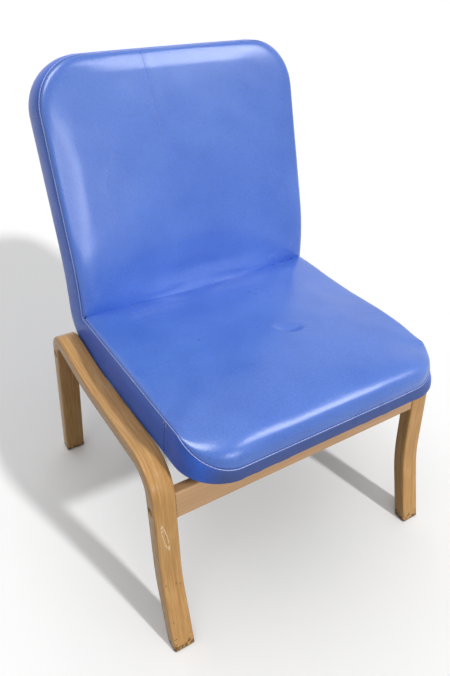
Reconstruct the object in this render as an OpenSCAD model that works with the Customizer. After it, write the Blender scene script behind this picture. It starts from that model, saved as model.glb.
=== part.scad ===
// Low back chair: two bent laminated beech side frames, two beech cross rails
// and an upholstered one-piece seat and back carried between the frames.
// +Z is up, the chair faces -Y, and the origin is on the floor under its middle.

/* [Side frames] */
// Width over the two side frames
frame_w = 560; // [520:5:620]
// Width of the laminated strip, seen from the front
strip_w = 38; // [34:1:44]
// Thickness of the laminated strip
strip_t = 26; // [22:1:30]
// Rounding of the strip's long edges
edge_r = 4; // [2:0.5:6]
// Front foot, distance in front of the middle
front_foot_y = 313; // [290:1:330]
// Knee of the front leg, distance in front of the middle
knee_y = 264; // [250:1:275]
// Height of the knee of the front leg
knee_z = 141; // [110:1:170]
// Outside radius of the knee
knee_r = 350; // [200:10:500]
// Front bend, distance in front of the middle
front_bend_y = 229.5; // [215:0.5:240]
// Height of the corner that the front bend rounds
front_bend_z = 368; // [355:1:380]
// Outside radius of the front bend
front_bend_r = 64; // [50:1:80]
// Lowest part of the top rail, distance behind the middle
sag_y = 29; // [0:1:60]
// Height of the top rail there
sag_z = 337.5; // [330:0.5:345]
// Radius of the top rail's sweep
sag_r = 430; // [200:10:600]
// Rear bend, distance behind the middle
rear_bend_y = 181.5; // [170:0.5:190]
// Height of the corner that the rear bend rounds
rear_bend_z = 344.5; // [338:0.5:352]
// Outside radius of the rear bend
rear_bend_r = 50; // [40:1:60]
// Rear foot, distance behind the middle
rear_foot_y = 215; // [195:1:235]

/* [Cross rails] */
// Height of the cross rails
rail_h = 50; // [42:1:56]
// Thickness of the cross rails
rail_t = 20; // [18:1:22]
// Height of the middle of the front rail
front_rail_z = 284; // [275:1:290]
// Height of the middle of the rear rail
rear_rail_z = 286; // [275:1:288]
// How far the front rail is set back from the face of the leg
front_rail_set = 2; // [1:0.5:4]

/* [Upholstery] */
// Gap between the upholstery and each side frame
seat_gap = 4; // [2:0.5:12]
// Front of the seat, distance in front of the middle
seat_front_y = 296; // [285:1:298]
// Depth of the boxing strip between seam and edge
boxing_h = 66; // [60:1:72]
// Height of the side seam above the front rail
seam_z = 426; // [420:1:435]
// Slope of the seat in degrees
seat_tilt = 6.1; // [4:0.1:8]
// Radius of the seat's front corners
seat_corner_r = 68; // [40:1:80]
// Height of the seam at the front of the seat
front_seam_z = 391; // [380:1:396]
// Where seat and back meet, distance behind the middle
joint_y = 121; // [115:1:127]
// Lean of the lower back in degrees
low_lean = 6.7; // [4:0.1:10]
// Lean of the upper back in degrees
back_lean = 20.4; // [16:0.1:24]
// Height of the lower back up to its change of lean
low_back_h = 77.5; // [70:0.5:90]
// Length of the upper back above that
up_back_h = 342; // [300:1:380]
// Radius of the back's top corners
top_corner_r = 80; // [50:1:100]
// Rise of the seat's middle above its seam
seat_crown = 24; // [16:1:32]
// Rise of the back's middle in front of its seam
back_crown = 18; // [10:1:24]
// Thickness of the vinyl cover
cover_t = 1.2; // [1:0.1:2]

/* [Shell and fittings] */
// Thickness of the bent plywood shell
ply_t = 12; // [10:1:14]
// Outside radius of the shell's heel
heel_r = 55; // [45:1:56]
// Diameter of the connector bolts
bolt_d = 6; // [6:1:8]
// Diameter of the bolts' recesses in the legs
recess_d = 15; // [13:1:18]
// Depth of those recesses
recess_h = 9; // [6:1:12]
// Thickness of the steel angle brackets
bracket_t = 3; // [2.5:0.5:4]
// Width of the steel angle brackets
bracket_w = 40; // [32:1:50]
// How far in from each side frame the brackets stand
bracket_in = 92; // [60:1:140]
// Height of the nylon glides under the feet
glide_h = 2; // [2:0.5:6]

/* [Hidden] */
$fn = 48;
beech = "#E3B87F";
vinyl = "#5A7FDB";
steel = "#B9BCC0";

inner_x = frame_w / 2 - strip_w;
hw = inner_x - seat_gap;
seat_w = 2 * hw;
foam_t = boxing_h - ply_t;
core_hw = hw - cover_t;
core_front_y = seat_front_y - cover_t;

// side frame: corners of its outer face in the Y-Z plane, front foot first
frame_pts = [
    [-front_foot_y, 0],
    [-knee_y, knee_z],
    [-front_bend_y, front_bend_z],
    [sag_y, sag_z],
    [rear_bend_y, rear_bend_z],
    [rear_foot_y, 0]
];
frame_radii = [0, knee_r, front_bend_r, sag_r, rear_bend_r, 0];
leg_over = 12;

// largest turn between two stations of a bend
bend_step = 4;

// leans of the two legs where the rails meet them
front_lean = atan2(frame_pts[2].x - frame_pts[1].x, frame_pts[2].y - frame_pts[1].y);
rear_lean = atan2(frame_pts[5].x - frame_pts[4].x, frame_pts[4].y - frame_pts[5].y);
front_rail_y = line_y(frame_pts[1], frame_pts[2], front_rail_z)
    + (front_rail_set + rail_t / 2) / cos(front_lean);
rear_rail_y = line_y(frame_pts[5], frame_pts[4], rear_rail_z) - strip_t / 2 / cos(rear_lean);

// seam and shell lines in the Y-Z plane
seam_ref = [-218, seam_z];
joint_z = seam_plane(joint_y);
joint = [joint_y, joint_z];
lumbar = joint + low_back_h * up(low_lean);
back_top = lumbar + up_back_h * up(back_lean);
rear_low = joint + boxing_h * [cos(low_lean), -sin(low_lean)];
rear_up = lumbar + boxing_h * [cos(back_lean), -sin(back_lean)];
seat_dir = [cos(seat_tilt), -sin(seat_tilt)];
bottom_ref = seam_ref - boxing_h * [sin(seat_tilt), cos(seat_tilt)];
shell_front = meet(bottom_ref, seat_dir, [-core_front_y, 0], [0, 1]);
heel = meet(bottom_ref, seat_dir, rear_low, up(low_lean));
shell_bend = meet(rear_low, up(low_lean), rear_up, up(back_lean));
heel_inner = meet(
    bottom_ref + ply_t * [sin(seat_tilt), cos(seat_tilt)], seat_dir,
    rear_low - ply_t * [cos(low_lean), -sin(low_lean)], up(low_lean)
);
shell_top = rear_up + (up_back_h - cover_t) * up(back_lean);
lumbar_r = 400;
shell_pts = [shell_front, heel, shell_bend, shell_top];
shell_radii = [0, heel_r, lumbar_r - boxing_h, 0];
seam_pts = [[-seat_front_y, seam_plane(-seat_front_y)], joint, lumbar, back_top];
seam_radii = [0, 0, lumbar_r, 0];

// seat pad: where the seam leaves the seam plane and drops to the front
drop_y = -232;
drop_power = 1.1;
joint_cut_y = -197;
seat_mid_y = -86;
pad_rings = [0.985, 0.955, 0.91, 0.85, 0.78, 0.7, 0.6, 0.4, 0.2];
roll_s = 0.22;
front_roll_s = 0.38;
seat_edge_rise = 8;
back_edge_rise = 7;

// back pad: the seam path's straights and its arc, measured up from the joint
lean_turn = back_lean - low_lean;
arc_trim = lumbar_r * tan(lean_turn / 2);
arc_start = low_back_h - arc_trim;
arc_len = lumbar_r * lean_turn * PI / 180;
back_l = arc_start + arc_len + up_back_h - arc_trim;
arc_p = joint + arc_start * up(low_lean);
corner_s = up_back_h - top_corner_r;

// fittings
dowel_d = 8;
dowel_l = 40;
dowel_in_leg = 15;
dowel_gap = 15;
hole_d = bolt_d + 1;
bolt_l = 84;
bolt_head_d = 12;
bolt_head_h = 5;
nut_in = 45;
cross_d = 10;
cross_l = 14;
bracket_x = inner_x - bracket_in;
bracket_r = 5;
front_leg_l = 74;
rear_leg_l = 42;
front_arm_l = 56;
rear_arm_l = 104;
front_bolt_u = 38;
rear_bolt_u = 84;
screw_gap = 12;
screw_up = 12;
screw_d = 4;
screw_l = 16;
cloth_t = cover_t;
hem = 14;
corner_ease = 0.3;
cloth_in = 14;
tee_d = 8;
tee_l = 9;
tee_flange_d = 19;
tee_flange_t = 1.2;
glide_d = 24;
nail_d = 3;
nail_l = 16;

under_ref = bottom_ref - cloth_t * [sin(seat_tilt), cos(seat_tilt)];
front_rail_c = [front_rail_y, front_rail_z];
rear_rail_c = [rear_rail_y, rear_rail_z];
front_face = front_rail_c + rail_t / 2 * [cos(front_lean), -sin(front_lean)];
rear_face = rear_rail_c - rail_t / 2 * [cos(rear_lean), sin(rear_lean)];
front_corner = meet(front_face, up(front_lean), under_ref, seat_dir);
rear_corner = meet(rear_face, up(-rear_lean), under_ref, seat_dir);
front_bolt_p = front_corner + front_bolt_u * seat_dir;
rear_bolt_p = rear_corner - rear_bolt_u * seat_dir;
front_screw_p = front_corner - (front_leg_l - screw_up) * up(front_lean);
rear_screw_p = rear_corner - (rear_leg_l - screw_up) * up(-rear_lean);

// path of the outside back cover and the end of its hem under the shell
cover_high = rear_up + cover_t * [cos(back_lean), -sin(back_lean)];
cover_low = rear_low + cover_t * [cos(low_lean), -sin(low_lean)];
cover_base = bottom_ref - cover_t * [sin(seat_tilt), cos(seat_tilt)];
cover_heel = meet(cover_base, seat_dir, cover_low, up(low_lean));
hem_end = cover_heel - (heel_r + cover_t + hem) * seat_dir;

// middles of the feet's cut ends
front_foot_c = line_y(frame_pts[0], frame_pts[1], glide_h)
    + strip_t / 2 / cos(heading(frame_pts[0], frame_pts[1]) - 90);
rear_foot_c = line_y(frame_pts[5], frame_pts[4], glide_h) - strip_t / 2 / cos(rear_lean);
foot_x = (frame_w - strip_w) / 2;

// Geometry helpers

// upward direction that leans back by a degrees
function up(a) = [sin(a), cos(a)];

// crossing of the lines p + s*d and q + t*e
function meet(p, d, q, e) =
    p + d * (((q.x - p.x) * e.y - (q.y - p.y) * e.x) / (d.x * e.y - d.y * e.x));

// y of the line through a and b at height z
function line_y(a, b, z) = a.x + (b.x - a.x) * (z - a.y) / (b.y - a.y);

// height of the seat's seam plane at y
function seam_plane(y) = seam_ref.y - (y - seam_ref.x) * tan(seat_tilt);

// direction angle of b seen from a
function heading(a, b) = atan2(b.y - a.y, b.x - a.x);

// signed turn at point i of a path
function turn(pts, i) =
    let (t = heading(pts[i], pts[i + 1]) - heading(pts[i - 1], pts[i]))
    t > 180 ? t - 360 : t < -180 ? t + 360 : t;

// length that the bend at point i takes from each of its two straights
function trim(pts, radii, i) =
    (i == 0 || i == len(pts) - 1) ? 0 : radii[i] * tan(abs(turn(pts, i)) / 2);

// rectangle with rounded corners, as true arcs
module rounded_rect(size, r) {
    if (r > 0) {
        translate([r, 0]) square([size.x - 2 * r, size.y]);
        translate([0, r]) square([size.x, size.y - 2 * r]);
        for (x = [r, size.x - r], y = [r, size.y - r])
            translate([x, y]) circle(r);
    } else {
        square(size);
    }
}

// path with its corners rounded, as a list of points
function rounded_path(pts, radii) = [
    for (i = [0 : len(pts) - 1])
        if (radii[i] == 0)
            pts[i]
        else
            let (
                a = heading(pts[i - 1], pts[i]),
                turned = turn(pts, i),
                side = sign(turned),
                entry = pts[i] - trim(pts, radii, i) * [cos(a), sin(a)],
                centre = entry + side * radii[i] * [-sin(a), cos(a)],
                n = ceil(abs(turned) / bend_step)
            )
            for (k = [0 : n])
                let (b = a - side * 90 + turned * k / n)
                centre + radii[i] * [cos(b), sin(b)]
];

// corners of the parallel path at distance t on the right of the direction of travel
function beside(pts, t) =
    let (
        n = len(pts) - 1,
        dirs = [for (i = [0 : n - 1]) (pts[i + 1] - pts[i]) / norm(pts[i + 1] - pts[i])],
        out = [for (d = dirs) t * [d.y, -d.x]]
    )
    [
        for (i = [0 : n])
            i == 0 ? pts[0] + out[0]
            : i == n ? pts[n] + out[n - 1]
            : meet(pts[i - 1] + out[i - 1], dirs[i - 1], pts[i] + out[i], dirs[i])
    ];

function beside_radii(pts, radii, t) = [
    for (i = [0 : len(pts) - 1])
        radii[i] == 0 ? 0 : radii[i] + t * sign(turn(pts, i))
];

function other_face(pts, radii, t) = rounded_path(beside(pts, t), beside_radii(pts, radii, t));

// strip bent along a path in the Y-Z plane, lying on the right of it, from x = 0 to x = w
module bent_strip(pts, radii, t, w) {
    rotate([90, 0, 90]) linear_extrude(w)
        polygon(concat(rounded_path(pts, radii), reversed(other_face(pts, radii, t))));
}

// the same with its four long edges rounded to radius r
module rounded_strip(pts, radii, t, w, r) {
    outer = rounded_path(pts, radii);
    inner = other_face(pts, radii, t);
    last = len(outer) - 1;
    section = [
        for (c = [[w - r, r, 270], [w - r, t - r, 0], [r, t - r, 90], [r, r, 180]], k = [0 : 3])
            [c[0] + r * cos(c[2] + 30 * k), c[1] + r * sin(c[2] + 30 * k)]
    ];
    function at(x, i, u) =
        let (p = outer[i] + (inner[i] - outer[i]) * u / t)
        [x, p.x, p.y];
    ringed_solid(
        at(w / 2, 0, t / 2),
        [for (i = [0 : last]) [for (q = section) at(q.x, i, q.y)]],
        at(w / 2, last, t / 2)
    );
}

// points in reverse order
function reversed(v) = [for (i = [len(v) - 1 : -1 : 0]) v[i]];

// both ends of a path pushed out by d
function extended(pts, d) =
    let (
        n = len(pts) - 1,
        first = (pts[0] - pts[1]) / norm(pts[0] - pts[1]),
        last = (pts[n] - pts[n - 1]) / norm(pts[n] - pts[n - 1])
    )
    [for (i = [0 : n]) i == 0 ? pts[0] + d * first : i == n ? pts[n] + d * last : pts[i]];

// points from a to b, without b
function steps(a, b, n) = [for (i = [0 : n - 1]) a + (b - a) * i / n];

// points on an arc from angle a by turned degrees, without the last
function arc_steps(c, r, a, turned, n) =
    [for (i = [0 : n - 1]) c + r * [cos(a + turned * i / n), sin(a + turned * i / n)]];

// copy on the other side of x = 0
module both_sides() {
    children();
    mirror([1, 0, 0]) children();
}

// cylinder along X from x = 0
module rod_x(d, l) {
    rotate([0, 90, 0]) cylinder(d = d, h = l);
}

// frames of reference of the rails, the seat and the upper back
module at_front_rail() {
    translate([0, front_rail_y, front_rail_z]) rotate([-front_lean, 0, 0]) children();
}

module at_rear_rail() {
    translate([0, rear_rail_y, rear_rail_z]) rotate([rear_lean, 0, 0]) children();
}

module at_seat(p) {
    translate([0, p.x, p.y]) rotate([-seat_tilt, 0, 0]) children();
}

module at_back() {
    translate([0, lumbar.x, lumbar.y]) rotate([90 - back_lean, 0, 0]) children();
}

// Beech frame

// holes of one joint between leg and rail, from the rail's middle
module joint_holes() {
    translate([frame_w / 2 - recess_h, 0, 0]) rod_x(recess_d, recess_h + 1);
    translate([inner_x - nut_in - cross_d, 0, 0]) rod_x(hole_d, strip_w + nut_in + cross_d);
    for (z = [-dowel_gap, dowel_gap])
        translate([inner_x + dowel_in_leg - dowel_l, 0, z]) rod_x(dowel_d, dowel_l);
}

module glide_nail_hole(y) {
    translate([foot_x, y, glide_h - 1]) cylinder(d = nail_d, h = nail_l);
}

module side_frame() {
    difference() {
        translate([inner_x, 0, 0])
            rounded_strip(extended(frame_pts, leg_over), frame_radii, strip_t, strip_w, edge_r);
        translate([inner_x - 1, -front_foot_y - strip_w, -strip_w])
            cube([strip_w + 2, front_foot_y + rear_foot_y + 2 * strip_w, strip_w + glide_h]);
        at_front_rail() joint_holes();
        at_rear_rail() joint_holes();
        glide_nail_hole(front_foot_c);
        glide_nail_hole(rear_foot_c);
    }
}

module side_frame_left() {
    color(beech) mirror([1, 0, 0]) side_frame();
}

module side_frame_right() {
    color(beech) side_frame();
}

// cross rail with bored ends; the screws of its brackets enter at height z from side s
module rail(s, z) {
    difference() {
        translate([-inner_x, 0, 0]) rotate([90, 0, 90])
            linear_extrude(2 * inner_x)
                translate([-rail_t / 2, -rail_h / 2]) rounded_rect([rail_t, rail_h], 3);
        both_sides() {
            joint_holes();
            translate([inner_x - nut_in, cross_l / 2 - cross_l, 0])
                rotate([-90, 0, 0]) cylinder(d = cross_d, h = rail_t);
            for (x = [-screw_gap, screw_gap])
                translate([bracket_x + x, s * rail_t / 2, z]) rotate([s * 90, 0, 0])
                    translate([0, 0, -1]) cylinder(d = screw_d, h = screw_l - bracket_t + 1);
        }
    }
}

module front_rail() {
    color(beech) at_front_rail() rail(1, along_front(front_screw_p));
}

module rear_rail() {
    color(beech) at_rear_rail() rail(-1, along_rear(rear_screw_p));
}

// height of point p along each rail's own upright axis
function along_front(p) = (p - front_rail_c) * up(front_lean);
function along_rear(p) = (p - rear_rail_c) * up(-rear_lean);

module joint_dowels() {
    for (z = [-dowel_gap, dowel_gap])
        translate([inner_x + dowel_in_leg - dowel_l, 0, z]) rod_x(dowel_d, dowel_l);
}

module rail_dowels() {
    color(beech) both_sides() {
        at_front_rail() joint_dowels();
        at_rear_rail() joint_dowels();
    }
}

// socket-head bolt whose head stands on the recess's floor
module connector_bolt() {
    translate([frame_w / 2 - recess_h, 0, 0]) difference() {
        union() {
            rod_x(bolt_head_d, bolt_head_h);
            translate([-bolt_l, 0, 0]) rod_x(bolt_d, bolt_l);
        }
        translate([bolt_head_h - 3, 0, 0]) rotate([0, 90, 0]) cylinder(d = 5.8, h = 4, $fn = 6);
    }
}

module connector_bolts() {
    color(steel) both_sides() {
        at_front_rail() connector_bolt();
        at_rear_rail() connector_bolt();
    }
}

// barrel nut across the bolt
module cross_dowel() {
    translate([inner_x - nut_in, 0, 0]) difference() {
        rotate([90, 0, 0]) cylinder(d = cross_d, h = cross_l, center = true);
        translate([-cross_d, 0, 0]) rod_x(bolt_d, 2 * cross_d);
    }
}

module cross_dowels() {
    color(steel) both_sides() {
        at_front_rail() cross_dowel();
        at_rear_rail() cross_dowel();
    }
}

// Feet

module glide(y) {
    translate([foot_x, y, 0]) difference() {
        rotate_extrude()
            polygon([
                [0, 0], [glide_d / 2 - 1.5, 0], [glide_d / 2, 1.5],
                [glide_d / 2, glide_h], [0, glide_h]
            ]);
        translate([0, 0, 1]) cylinder(d = nail_d, h = glide_h);
        translate([0, 0, -1]) cylinder(d = 8, h = 2.01);
    }
}

module foot_glides() {
    color("#6E6A64") both_sides() {
        glide(front_foot_c);
        glide(rear_foot_c);
    }
}

// nail with its head sunk in the glide
module glide_nail(y) {
    translate([foot_x, y, 1]) {
        translate([0, 0, -0.6]) cylinder(d = 6, h = 0.6);
        cylinder(d = nail_d, h = glide_h - 2 + nail_l);
    }
}

module glide_nails() {
    color(steel) both_sides() {
        glide_nail(front_foot_c);
        glide_nail(rear_foot_c);
    }
}

// Shell

// what a corner of radius r loses, in the quarter x > 0, y > 0; the arc's middle lies
// out by a little, so that it meets the two sides at a clear angle
module corner_waste(r, h) {
    translate([corner_ease, corner_ease, 0]) difference() {
        translate([0, 0, -h]) cube([r + 2, r + 2, 2 * h]);
        translate([0, 0, -h - 1]) cylinder(r = r - 2 * corner_ease, h = 2 * h + 2, $fn = 96);
    }
}

module top_corner_waste(w, top, r) {
    at_back() both_sides()
        translate([w - r, top - r, -boxing_h]) corner_waste(r, boxing_h);
}

module seat_shell() {
    r = seat_corner_r - cover_t;
    color("#C9A06C") difference() {
        translate([-core_hw, 0, 0])
            bent_strip(reversed(shell_pts), reversed(shell_radii), ply_t, 2 * core_hw);
        both_sides()
            translate([core_hw - r, r - core_front_y, seam_z])
                mirror([0, 1, 0]) corner_waste(r, 2 * boxing_h);
        top_corner_waste(core_hw, up_back_h - cover_t, top_corner_r - cover_t);
        both_sides() for (p = [front_bolt_p, rear_bolt_p])
            at_seat(p) translate([bracket_x, 0, cloth_t]) {
                translate([0, 0, -1]) cylinder(d = hole_d, h = ply_t + 2);
                translate([0, 0, ply_t - tee_flange_t - tee_l])
                    cylinder(d = tee_d, h = tee_l + 2);
                translate([0, 0, ply_t - tee_flange_t]) cylinder(d = tee_flange_d, h = 2);
            }
    }
}

module tee_nuts() {
    color(steel) both_sides() for (p = [front_bolt_p, rear_bolt_p])
        at_seat(p) translate([bracket_x, 0, cloth_t + ply_t - tee_flange_t]) difference() {
            union() {
                cylinder(d = tee_flange_d, h = tee_flange_t);
                translate([0, 0, -tee_l]) cylinder(d = tee_d, h = tee_l);
            }
            translate([0, 0, -tee_l - 1]) cylinder(d = bolt_d, h = tee_l + 3);
        }
}

// Foam and covers

// closed surface through rings of points, from the inner centre to the outer one
module ringed_solid(first, rings, last) {
    n = len(rings[0]);
    m = len(rings);
    function at(k, i) = 1 + k * n + i % n;
    polyhedron(
        points = concat([first], [for (ring = rings) each ring], [last]),
        faces = concat(
            [for (i = [0 : n - 1]) [0, at(0, i), at(0, i + 1)]],
            [for (k = [0 : m - 2], i = [0 : n - 1]) each [
                [at(k, i), at(k + 1, i), at(k + 1, i + 1)],
                [at(k, i), at(k + 1, i + 1), at(k, i + 1)]
            ]],
            [for (i = [0 : n - 1]) [at(m - 1, i), 1 + m * n, at(m - 1, i + 1)]]
        )
    );
}

// how far the padded edge has rolled over at ring scale s, from 0 to 1
function rolled(s, roll = roll_s) =
    s <= 1 - roll ? 1 : sqrt(max(0, 1 - pow((s - 1 + roll) / roll, 2)));

function crown(s, edge, middle, roll = roll_s) =
    rolled(s, roll) * (edge + (middle - edge) * (1 - s * s));

// the seat's roll grows wider towards the front
function seat_roll(y) =
    let (w = max(0, min(1, (seat_mid_y - y) / (seat_mid_y + seat_front_y))))
    roll_s + (front_roll_s - roll_s) * w * w * (3 - 2 * w);

// seat: outline seen from above, grown by t
function seat_outline(t) =
    let (
        w = core_hw + t,
        b = joint_y - t,
        f = -core_front_y - t,
        r = seat_corner_r - cover_t + t
    )
    concat(
        steps([w, b], [-w, b], 8),
        steps([-w, b], [-w, f + r], 10),
        arc_steps([r - w, f + r], r, 180, 90, 6),
        steps([r - w, f], [w - r, f], 8),
        arc_steps([w - r, f + r], r, 270, 90, 6),
        steps([w, f + r], [w, b], 10)
    );

// height of the seam at y: on the seam plane, then sweeping down to the front
function seam_height(y) =
    y > drop_y ? seam_plane(y)
    : let (u = min(1, (drop_y - y) / (seat_front_y + drop_y)))
    seam_plane(drop_y) - (seam_plane(drop_y) - front_seam_z) * pow(u, drop_power);

function seat_ring(s, t) = [
    for (q = seat_outline(t))
        let (
            x = s * q.x,
            y = seat_mid_y + s * (q.y - seat_mid_y),
            z = seam_plane(y) + crown(s, seat_edge_rise, seat_crown, seat_roll(q.y))
                - (seam_plane(q.y) - seam_height(q.y)) * (1 - rolled(s, seat_roll(q.y)))
        )
        [x, y, z + t]
];

function seat_base(s) = [
    for (q = seat_outline(0))
        let (y = seat_mid_y + s * (q.y - seat_mid_y))
        [s * q.x, y, seam_plane(y) - foam_t / cos(seat_tilt)]
];

module seat_foam() {
    top = [0, seat_mid_y, seam_plane(seat_mid_y) + seat_crown];
    base = [0, seat_mid_y, seam_plane(seat_mid_y) - foam_t / cos(seat_tilt)];
    color("#E8DFC0")
        ringed_solid(
            base,
            concat([seat_base(1), seat_ring(1, 0)], [for (s = pad_rings) seat_ring(s, 0)]),
            top
        );
}

module seat_cover() {
    top = [0, seat_mid_y, seam_plane(seat_mid_y) + seat_crown];
    color(vinyl)
        ringed_solid(
            top,
            concat(
                [for (s = reversed(pad_rings)) seat_ring(s, 0)],
                [seat_ring(1, 0), seat_ring(1, cover_t)],
                [for (s = pad_rings) seat_ring(s, cover_t)]
            ),
            top + [0, 0, cover_t]
        );
}

// back: place and lean at length l along the seam path, up from the joint
function back_lean_at(l) =
    low_lean + lean_turn * max(0, min(1, (l - arc_start) / arc_len));

function back_place(l) =
    l < arc_start ? joint + l * up(low_lean)
    : let (
        a = back_lean_at(l),
        p = arc_p + lumbar_r * [cos(low_lean) - cos(a), sin(a) - sin(low_lean)]
    )
    p + max(0, l - arc_start - arc_len) * up(back_lean);

// point of the back at x, length l and distance n in front of the seam path
function back_point(x, l, n) =
    let (p = back_place(l), a = back_lean_at(l))
    [x, p.x - n * cos(a), p.y + n * sin(a)];

function back_outline(t) =
    let (
        w = core_hw + t,
        h = back_l - cover_t + t,
        r = top_corner_r - cover_t + t
    )
    concat(
        steps([-w, t], [w, t], 8),
        steps([w, t], [w, h - r], 12),
        arc_steps([w - r, h - r], r, 0, 90, 6),
        steps([w - r, h], [r - w, h], 8),
        arc_steps([r - w, h - r], r, 90, 90, 6),
        steps([-w, h - r], [-w, t], 12)
    );

function back_ring(s, t, n) = [
    for (q = back_outline(t))
        back_point(s * q.x, back_l / 2 + s * (q.y - back_l / 2), n + t)
];

function back_front_ring(s, t) = back_ring(s, t, crown(s, back_edge_rise, back_crown));

// foam that fills the shell's heel behind the joint
module heel_foam() {
    inner = rounded_path(
        [
            meet(bottom_ref + ply_t * [sin(seat_tilt), cos(seat_tilt)], seat_dir, joint, [0, 1]),
            heel_inner,
            joint + foam_t * [cos(low_lean), -sin(low_lean)]
        ],
        [0, heel_r - ply_t, 0]
    );
    translate([-core_hw, 0, 0]) rotate([90, 0, 90])
        linear_extrude(2 * core_hw) polygon(concat(inner, [joint]));
}

module back_foam() {
    mid = back_l / 2;
    color("#E8DFC0") {
        ringed_solid(
            back_point(0, mid, -foam_t),
            concat(
                [for (s = [0.3, 0.6, 0.85, 1]) back_ring(s, 0, -foam_t)],
                [back_front_ring(1, 0)],
                [for (s = pad_rings) back_front_ring(s, 0)]
            ),
            back_point(0, mid, back_crown)
        );
        heel_foam();
    }
}

module back_cover() {
    mid = back_l / 2;
    color(vinyl)
        ringed_solid(
            back_point(0, mid, back_crown),
            concat(
                [for (s = reversed(pad_rings)) back_front_ring(s, 0)],
                [back_front_ring(1, 0), back_front_ring(1, cover_t)],
                [for (s = pad_rings) back_front_ring(s, cover_t)]
            ),
            back_point(0, mid, back_crown + cover_t)
        );
}

// side view of the boxing, between shell and seam
module boxing_profile() {
    outer = rounded_path(shell_pts, shell_radii);
    inner = rounded_path(seam_pts, seam_radii);
    intersection() {
        polygon(concat(outer, reversed(inner)));
        polygon([
            [joint_cut_y, 0],
            [back_top.x + boxing_h, 0],
            rear_up + corner_s * up(back_lean) + boxing_h * [cos(back_lean), -sin(back_lean)],
            rear_up + corner_s * up(back_lean) - 2 * boxing_h * [cos(back_lean), -sin(back_lean)],
            [joint_cut_y, seam_z + boxing_h]
        ]);
    }
}

module side_boxing() {
    translate([core_hw, 0, 0]) rotate([90, 0, 90]) linear_extrude(cover_t) boxing_profile();
}

module side_boxing_left() {
    color(vinyl) mirror([1, 0, 0]) side_boxing();
}

module side_boxing_right() {
    color(vinyl) side_boxing();
}

// seat seen from above between y = -f and the boxing's joint, grown by t
module seat_plan(t) {
    w = core_hw + t;
    f = core_front_y + t;
    r = seat_corner_r - cover_t + t;
    difference() {
        translate([-w, -f]) square([2 * w, f + joint_cut_y]);
        both_sides() difference() {
            translate([w - r, -f - 1]) square([r + 1, r + 1]);
            translate([w - r, r - f]) circle(r, $fn = 96);
        }
    }
}

module front_boxing() {
    color(vinyl) intersection() {
        linear_extrude(seam_z + boxing_h) difference() {
            seat_plan(cover_t);
            seat_plan(0);
        }
        translate([-frame_w / 2, 0, 0]) rotate([90, 0, 90]) linear_extrude(frame_w)
            polygon(concat(
                [
                    [-seat_front_y - 5, bottom_z(-seat_front_y - 5)],
                    [joint_cut_y, bottom_z(joint_cut_y)],
                    [joint_cut_y, seam_plane(joint_cut_y)]
                ],
                [
                    for (k = [0 : 8])
                        let (y = drop_y + (-seat_front_y - drop_y) * k / 8)
                        [y, seam_height(y)]
                ],
                [[-seat_front_y - 5, front_seam_z]]
            ));
    }
}

// height of the shell's underside at y
function bottom_z(y) = seam_plane(y) - boxing_h / cos(seat_tilt);

// upper end of the back seen square on, grown by t
module back_plan(t) {
    w = core_hw + t;
    h = up_back_h - cover_t + t;
    r = top_corner_r - cover_t + t;
    difference() {
        translate([-w, corner_s]) square([2 * w, h - corner_s]);
        both_sides() difference() {
            translate([w - r, h - r]) square([r + 1, r + 1]);
            translate([w - r, h - r]) circle(r, $fn = 96);
        }
    }
}

module top_boxing() {
    color(vinyl) at_back() translate([0, 0, -boxing_h]) linear_extrude(boxing_h) difference() {
        back_plan(cover_t);
        translate([0, -1]) back_plan(0);
        back_plan(0);
    }
}

module outside_back_cover() {
    pts = [
        cover_high + up_back_h * up(back_lean),
        meet(cover_low, up(low_lean), cover_high, up(back_lean)),
        cover_heel,
        hem_end
    ];
    radii = [0, lumbar_r - boxing_h - cover_t, heel_r + cover_t, 0];
    color(vinyl) difference() {
        translate([-hw, 0, 0]) bent_strip(pts, radii, cover_t, seat_w);
        at_back() both_sides()
            translate([hw - top_corner_r, corner_s, -boxing_h])
                corner_waste(top_corner_r, boxing_h);
    }
}

module base_cloth() {
    x = core_hw - cloth_in;
    front = meet(bottom_ref, seat_dir, [-core_front_y + cloth_in, 0], [0, 1]);
    l = (hem_end.x - 1 - front.x) / cos(seat_tilt);
    r = seat_corner_r - cloth_in;
    color("#2B2B2E") difference() {
        at_seat(front) translate([0, 0, -cloth_t]) linear_extrude(cloth_t) difference() {
            translate([-x, 0]) square([2 * x, l]);
            both_sides() difference() {
                translate([x - r, -1]) square([r + 1, r + 1]);
                translate([x - r, r]) circle(r);
            }
        }
        both_sides() for (p = [front_bolt_p, rear_bolt_p])
            at_seat(p) translate([bracket_x, 0, -1]) cylinder(d = hole_d, h = 3);
    }
}

// Brackets

// bent steel plate on a rail's face and under the seat, with its holes
module bracket(pts, bolt_p, face_screw_p, rail_lean) {
    difference() {
        translate([bracket_x - bracket_w / 2, 0, 0])
            bent_strip(pts, [0, bracket_r, 0], bracket_t, bracket_w);
        at_seat(bolt_p) translate([bracket_x, 0, -bracket_t - 1])
            cylinder(d = hole_d, h = bracket_t + 2);
        for (x = [-screw_gap, screw_gap])
            translate([bracket_x + x, face_screw_p.x, face_screw_p.y])
                rotate([90 - rail_lean, 0, 0])
                    cylinder(d = screw_d, h = 4 * bracket_t, center = true);
    }
}

module bracket_front() {
    bracket(
        [
            front_corner - front_leg_l * up(front_lean),
            front_corner,
            front_corner + front_arm_l * seat_dir
        ],
        front_bolt_p, front_screw_p, front_lean
    );
}

module bracket_rear() {
    bracket(
        [
            rear_corner - rear_arm_l * seat_dir,
            rear_corner,
            rear_corner - rear_leg_l * up(-rear_lean)
        ],
        rear_bolt_p, rear_screw_p, -rear_lean
    );
}

module bracket_front_left() {
    color(steel) mirror([1, 0, 0]) bracket_front();
}

module bracket_front_right() {
    color(steel) bracket_front();
}

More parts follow.
